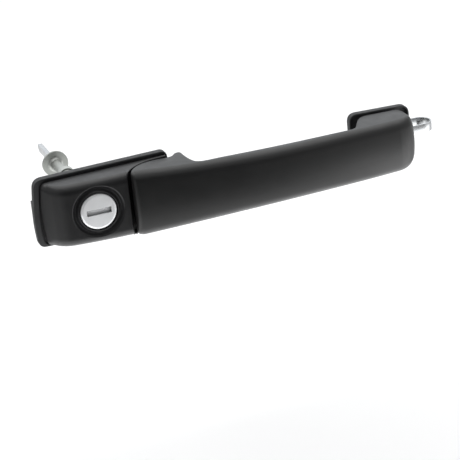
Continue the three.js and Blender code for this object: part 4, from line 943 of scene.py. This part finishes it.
def retaining_strap():
    s, at = STRAP, (STRAP.rivet_x, STRAP.z)
    middle, radius = (s.rear + s.front) / 2, (s.rear - s.front) / 2
    outer, inner = radius + s.thick / 2, radius - s.thick / 2
    turn = [math.pi / 2 - math.pi * k / 40 for k in range(41)]
    strip = [(s.start, middle + outer), (s.start, middle + inner)]
    strip += [(s.turn + inner * math.cos(t), middle + inner * math.sin(t)) for t in turn]
    strip += [(s.free, middle - inner), (s.free, middle - outer)]
    strip += [(s.turn + outer * math.cos(t), middle + outer * math.sin(t)) for t in reversed(turn)]
    body = slab("strap", "Z", strip, s.z - s.width / 2, s.z + s.width / 2, 0.15)
    drill(body, "Y", at, s.rivet + 0.1, s.rear - 2, s.rear + 2)
    stand_for(body, "retaining_strap", 30)
    start, top, head = BRACKET.bridge + 0.1, s.rear + s.thick / 2, s.rivet + 1
    rivet = eased([(0, start), (s.rivet, start, .1), (s.rivet, top + 0.1), (head, top + 0.1, .1),
                   (head, top + 0.6, .3), (1.4, top + 1.1, .5), (0, top + 1.1)], 4, closed=False)
    stand_for(revolve("rivet", rivet, "Y", at, SMALL), "strap_rivet", 40)


# ---------------- materials
class Finish:
    """A procedural material; noise scales are in features per metre."""

    def __init__(self, name):
        self.made = bpy.data.materials.new(name)
        self.made.use_nodes = True
        self.nodes, self.links = self.made.node_tree.nodes, self.made.node_tree.links
        self.nodes.clear()
        output = self.nodes.new("ShaderNodeOutputMaterial")
        self.shader = self.nodes.new("ShaderNodeBsdfPrincipled")
        self.links.new(self.shader.outputs["BSDF"], output.inputs["Surface"])
        self.at = self.nodes.new("ShaderNodeTexCoord").outputs["Object"]

    def feed(self, name, output):
        self.links.new(output, self.shader.inputs[name])

    def noise(self, scale, detail=3.0, rough=0.55, stretch=None):
        """Noise over the object; stretch squeezes it along X, Y and Z."""
        at = self.at
        if stretch:
            mapping = self.nodes.new("ShaderNodeMapping")
            mapping.inputs["Scale"].default_value = stretch
            self.links.new(at, mapping.inputs["Vector"])
            at = mapping.outputs["Vector"]
        node = self.nodes.new("ShaderNodeTexNoise")
        for name, value in (("Scale", scale), ("Detail", detail), ("Roughness", rough)):
            node.inputs[name].default_value = value
        self.links.new(at, node.inputs["Vector"])
        return node.outputs["Fac"]

    def spread(self, value, low, high, to_low, to_high):
        node = self.nodes.new("ShaderNodeMapRange")
        for name, limit in (("From Min", low), ("From Max", high), ("To Min", to_low), ("To Max", to_high)):
            node.inputs[name].default_value = limit
        self.links.new(value, node.inputs["Value"])
        return node.outputs["Result"]

    def colours(self, value, first, second):
        node = self.nodes.new("ShaderNodeMix")
        node.data_type = "RGBA"
        node.inputs["A"].default_value = (*first, 1)
        node.inputs["B"].default_value = (*second, 1)
        self.links.new(value, node.inputs["Factor"])
        return node.outputs["Result"]

    def relief(self, layers, edge):
        """Bump from (height, strength, distance in metres) layers, over edges rounded by edge metres."""
        rounded = self.nodes.new("ShaderNodeBevel")
        rounded.samples = 4
        rounded.inputs["Radius"].default_value = edge
        normal = rounded.outputs["Normal"]
        for height, strength, distance in layers:
            bump = self.nodes.new("ShaderNodeBump")
            bump.inputs["Strength"].default_value = strength
            bump.inputs["Distance"].default_value = distance
            self.links.new(height, bump.inputs["Height"])
            self.links.new(normal, bump.inputs["Normal"])
            normal = bump.outputs["Normal"]
        self.feed("Normal", normal)


def plastic(name, dark, light, rough, grain, specular=0.5):
    """Moulded plastic: a fine even grain, slow changes of tone and slightly polished wear."""
    f = Finish(name)
    f.feed("Base Color", f.colours(f.noise(45, 4), dark, light))
    fine = f.noise(2600, 3, 0.6)
    worn = f.noise(130, 5, 0.6)
    f.feed("Roughness", f.spread(worn, 0.3, 0.7, rough - 0.035, rough + 0.045))
    f.shader.inputs["Specular IOR Level"].default_value = specular
    f.relief([(worn, 0.12, 0.00006), (fine, grain, 0.00004)], 0.0002)
    return f.made


def rubber(name, dark, light):
    f = Finish(name)
    f.feed("Base Color", f.colours(f.noise(70, 5, 0.65), dark, light))
    f.feed("Roughness", f.spread(f.noise(300, 4), 0.3, 0.7, 0.55, 0.75))
    f.shader.inputs["Specular IOR Level"].default_value = 0.45
    f.relief([(f.noise(1800, 4, 0.7), 0.35, 0.00006)], 0.00025)
    return f.made


def metal(name, dark, light, rough, stretch=None, scale=900, bump=0.15, metallic=1.0):
    """Bare metal whose grain is stretched into brush or drawing marks, with cloudy tarnish and painted shade
    that darkens its colour in crevices.
    """
    f = Finish(name)
    marks = f.noise(scale, 4, 0.6, stretch)
    cloud = f.noise(90, 5, 0.6)
    # painted shade: ambient occlusion darkens the base colour in crevices and recesses, where shade falls
    painted_crevice_shade = f.nodes.new("ShaderNodeAmbientOcclusion")
    painted_crevice_shade.samples = 6
    painted_crevice_shade.inputs["Distance"].default_value = 0.0018
    f.links.new(f.colours(cloud, dark, light), painted_crevice_shade.inputs["Color"])
    f.feed("Base Color", painted_crevice_shade.outputs["Color"])
    f.feed("Roughness", f.spread(marks, 0.25, 0.75, rough - 0.08, rough + 0.1))
    f.shader.inputs["Metallic"].default_value = metallic
    f.relief([(marks, bump, 0.00003)], 0.00018)
    return f.made


# name: maker, dark colour, light colour and the maker's other values
FINISHES = {
    "housing_plastic": (plastic, (0.0065, 0.0066, 0.0072), (0.010, 0.0102, 0.011), 0.40, 0.28, 0.42),
    "grip_plastic": (plastic, (0.0065, 0.0067, 0.0068), (0.0105, 0.0108, 0.011), 0.42, 0.28, 0.42),
    "inner_plastic": (plastic, (0.012, 0.012, 0.013), (0.019, 0.019, 0.020), 0.5, 0.2),
    "white_plastic": (plastic, (0.62, 0.61, 0.56), (0.72, 0.71, 0.67), 0.38, 0.1),
    "gasket_rubber": (rubber, (0.016, 0.017, 0.018), (0.034, 0.035, 0.037)),
    "cast_zinc": (metal, (0.34, 0.355, 0.335), (0.48, 0.495, 0.475), 0.5, None, 1100, 0.3),
    "satin_cap": (metal, (0.70, 0.71, 0.72), (0.80, 0.81, 0.82), 0.42, (0.12, 1, 1), 2200, 0.12, 0.5),
    "spring_steel": (metal, (0.34, 0.35, 0.36), (0.49, 0.50, 0.51), 0.26, (0.08, 1, 1), 1600, 0.08),
    "carrier_black": (plastic, (0.012, 0.012, 0.0125), (0.020, 0.020, 0.021), 0.46, 0.35, 0.5),
    "dark_steel": (metal, (0.035, 0.035, 0.037), (0.07, 0.07, 0.072), 0.4, None, 900, 0.2),
    "brass": (metal, (0.60, 0.44, 0.20), (0.74, 0.57, 0.29), 0.3, (1, 0.15, 1), 1300, 0.15),
}
MATERIALS = {name: maker(name, *values) for name, (maker, *values) in FINISHES.items()}

# ---------------- build
lock_housing_cover()
lock_gasket()
lock_carrier()
cover_screws()
grip_buffers()
lock_barrel()
lock_plug()
lock_face()
lock_tail()
grip_shell()
grip_core()
pull_arm()
hinge_knuckle()
release_lever()
adjuster()
hinge_gasket()
hinge_bracket()
retaining_strap()


# ---------------- floor, light and camera, in metres
FLOOR = -0.16


def area_light(name, at, aim, size, power, colour=(1, 1, 1)):
    data = bpy.data.lights.new(name, "AREA")
    data.shape = "RECTANGLE"
    data.size, data.size_y = size
    data.energy = power
    data.color = colour
    obj = put(name, data)
    obj.location = at
    obj.rotation_euler = (Vector(aim) - Vector(at)).to_track_quat("-Z", "Y").to_euler()
    obj.visible_camera = False


def matt(name, scale, detail, dark, light):
    f = Finish(name)
    f.feed("Base Color", f.colours(f.noise(scale, detail), (dark,) * 3, (light,) * 3))
    f.shader.inputs["Roughness"].default_value = 1.0
    f.shader.inputs["Specular IOR Level"].default_value = 0.0
    return f.made


def sheet(name, corners, made):
    """A flat studio piece, in metres."""
    mesh = bpy.data.meshes.new(name)
    mesh.from_pydata(corners, [], [tuple(range(len(corners)))])
    obj = put(name, mesh)
    obj.data.materials.append(made)
    return obj


def floor():
    sheet("floor", [(-6, -6, FLOOR), (6, -6, FLOOR), (6, 6, FLOOR), (-6, 6, FLOOR)],
          matt("floor_paint", 3, 2, 0.90, 0.93))


def flag(name, corners):
    """A black studio card: it only keeps reflections of the floor in front off the handle's face."""
    obj = sheet(name, corners, matt(name, 2, 3.0, 0.002, 0.003))
    obj.visible_camera = obj.visible_diffuse = obj.visible_shadow = False


def studio():
    scene = bpy.context.scene
    scene.view_settings.view_transform = "Standard"
    world = bpy.data.worlds.new("studio")
    scene.world = world
    world.use_nodes = True
    background = world.node_tree.nodes["Background"]
    background.inputs["Color"].default_value = (1, 1, 1, 1)
    background.inputs["Strength"].default_value = 0.6
    area_light("overhead", (0.0, 0.32, 0.9), (0.0, 0.05, 0.0), (1.9, 1.0), 11)
    area_light("behind", (0.3, 1.3, 0.55), (0.05, 0.0, 0.0), (2.2, 0.8), 5, (0.90, 0.95, 1.0))
    area_light("low_right", (0.5, -0.22, -0.15), (0.5, -0.22, 1.0), (0.5, 0.36), 1.2)
    area_light("low_front", (0.05, -0.06, -0.15), (0.05, -0.06, 1.0), (0.6, 0.28), 0.75)
    low = FLOOR + 0.005
    flag("flag_low", [(-3, -0.2, low), (0.2, -0.24, low), (0.5, -0.5, low), (0.7, -3, low), (-3, -3, low)])
    flag("flag_left", [(-3, -0.19, low), (-0.42, -0.19, low), (-0.42, 1.2, low), (-3, 1.2, low)])
    flag("flag_high", [(-3, -2.2, -0.15), (1.2, -2.2, -0.15), (1.2, -2.2, 2), (-3, -2.2, 2)])


def camera():
    data = bpy.data.cameras.new("view")
    data.sensor_width = 36
    data.lens = 2000 / 460 * 36
    data.clip_start, data.clip_end = 0.05, 20
    obj = put("view", data)
    spin = Vector((0.3648, -0.3311, -0.1619))
    turn = Matrix.Rotation(spin.length, 3, spin.normalized())
    to_camera = turn @ Matrix(((1, 0, 0), (0, 0, -1), (0, 1, 0)))
    shift = Vector((-57.6, -23.2, 1160.7)) * MM
    flip = Matrix(((1, 0, 0), (0, -1, 0), (0, 0, -1)))
    to_world = to_camera.transposed()
    obj.matrix_world = Matrix.Translation(-(to_world @ shift)) @ (to_world @ flip).to_4x4()
    bpy.context.scene.camera = obj


floor()
studio()
camera()
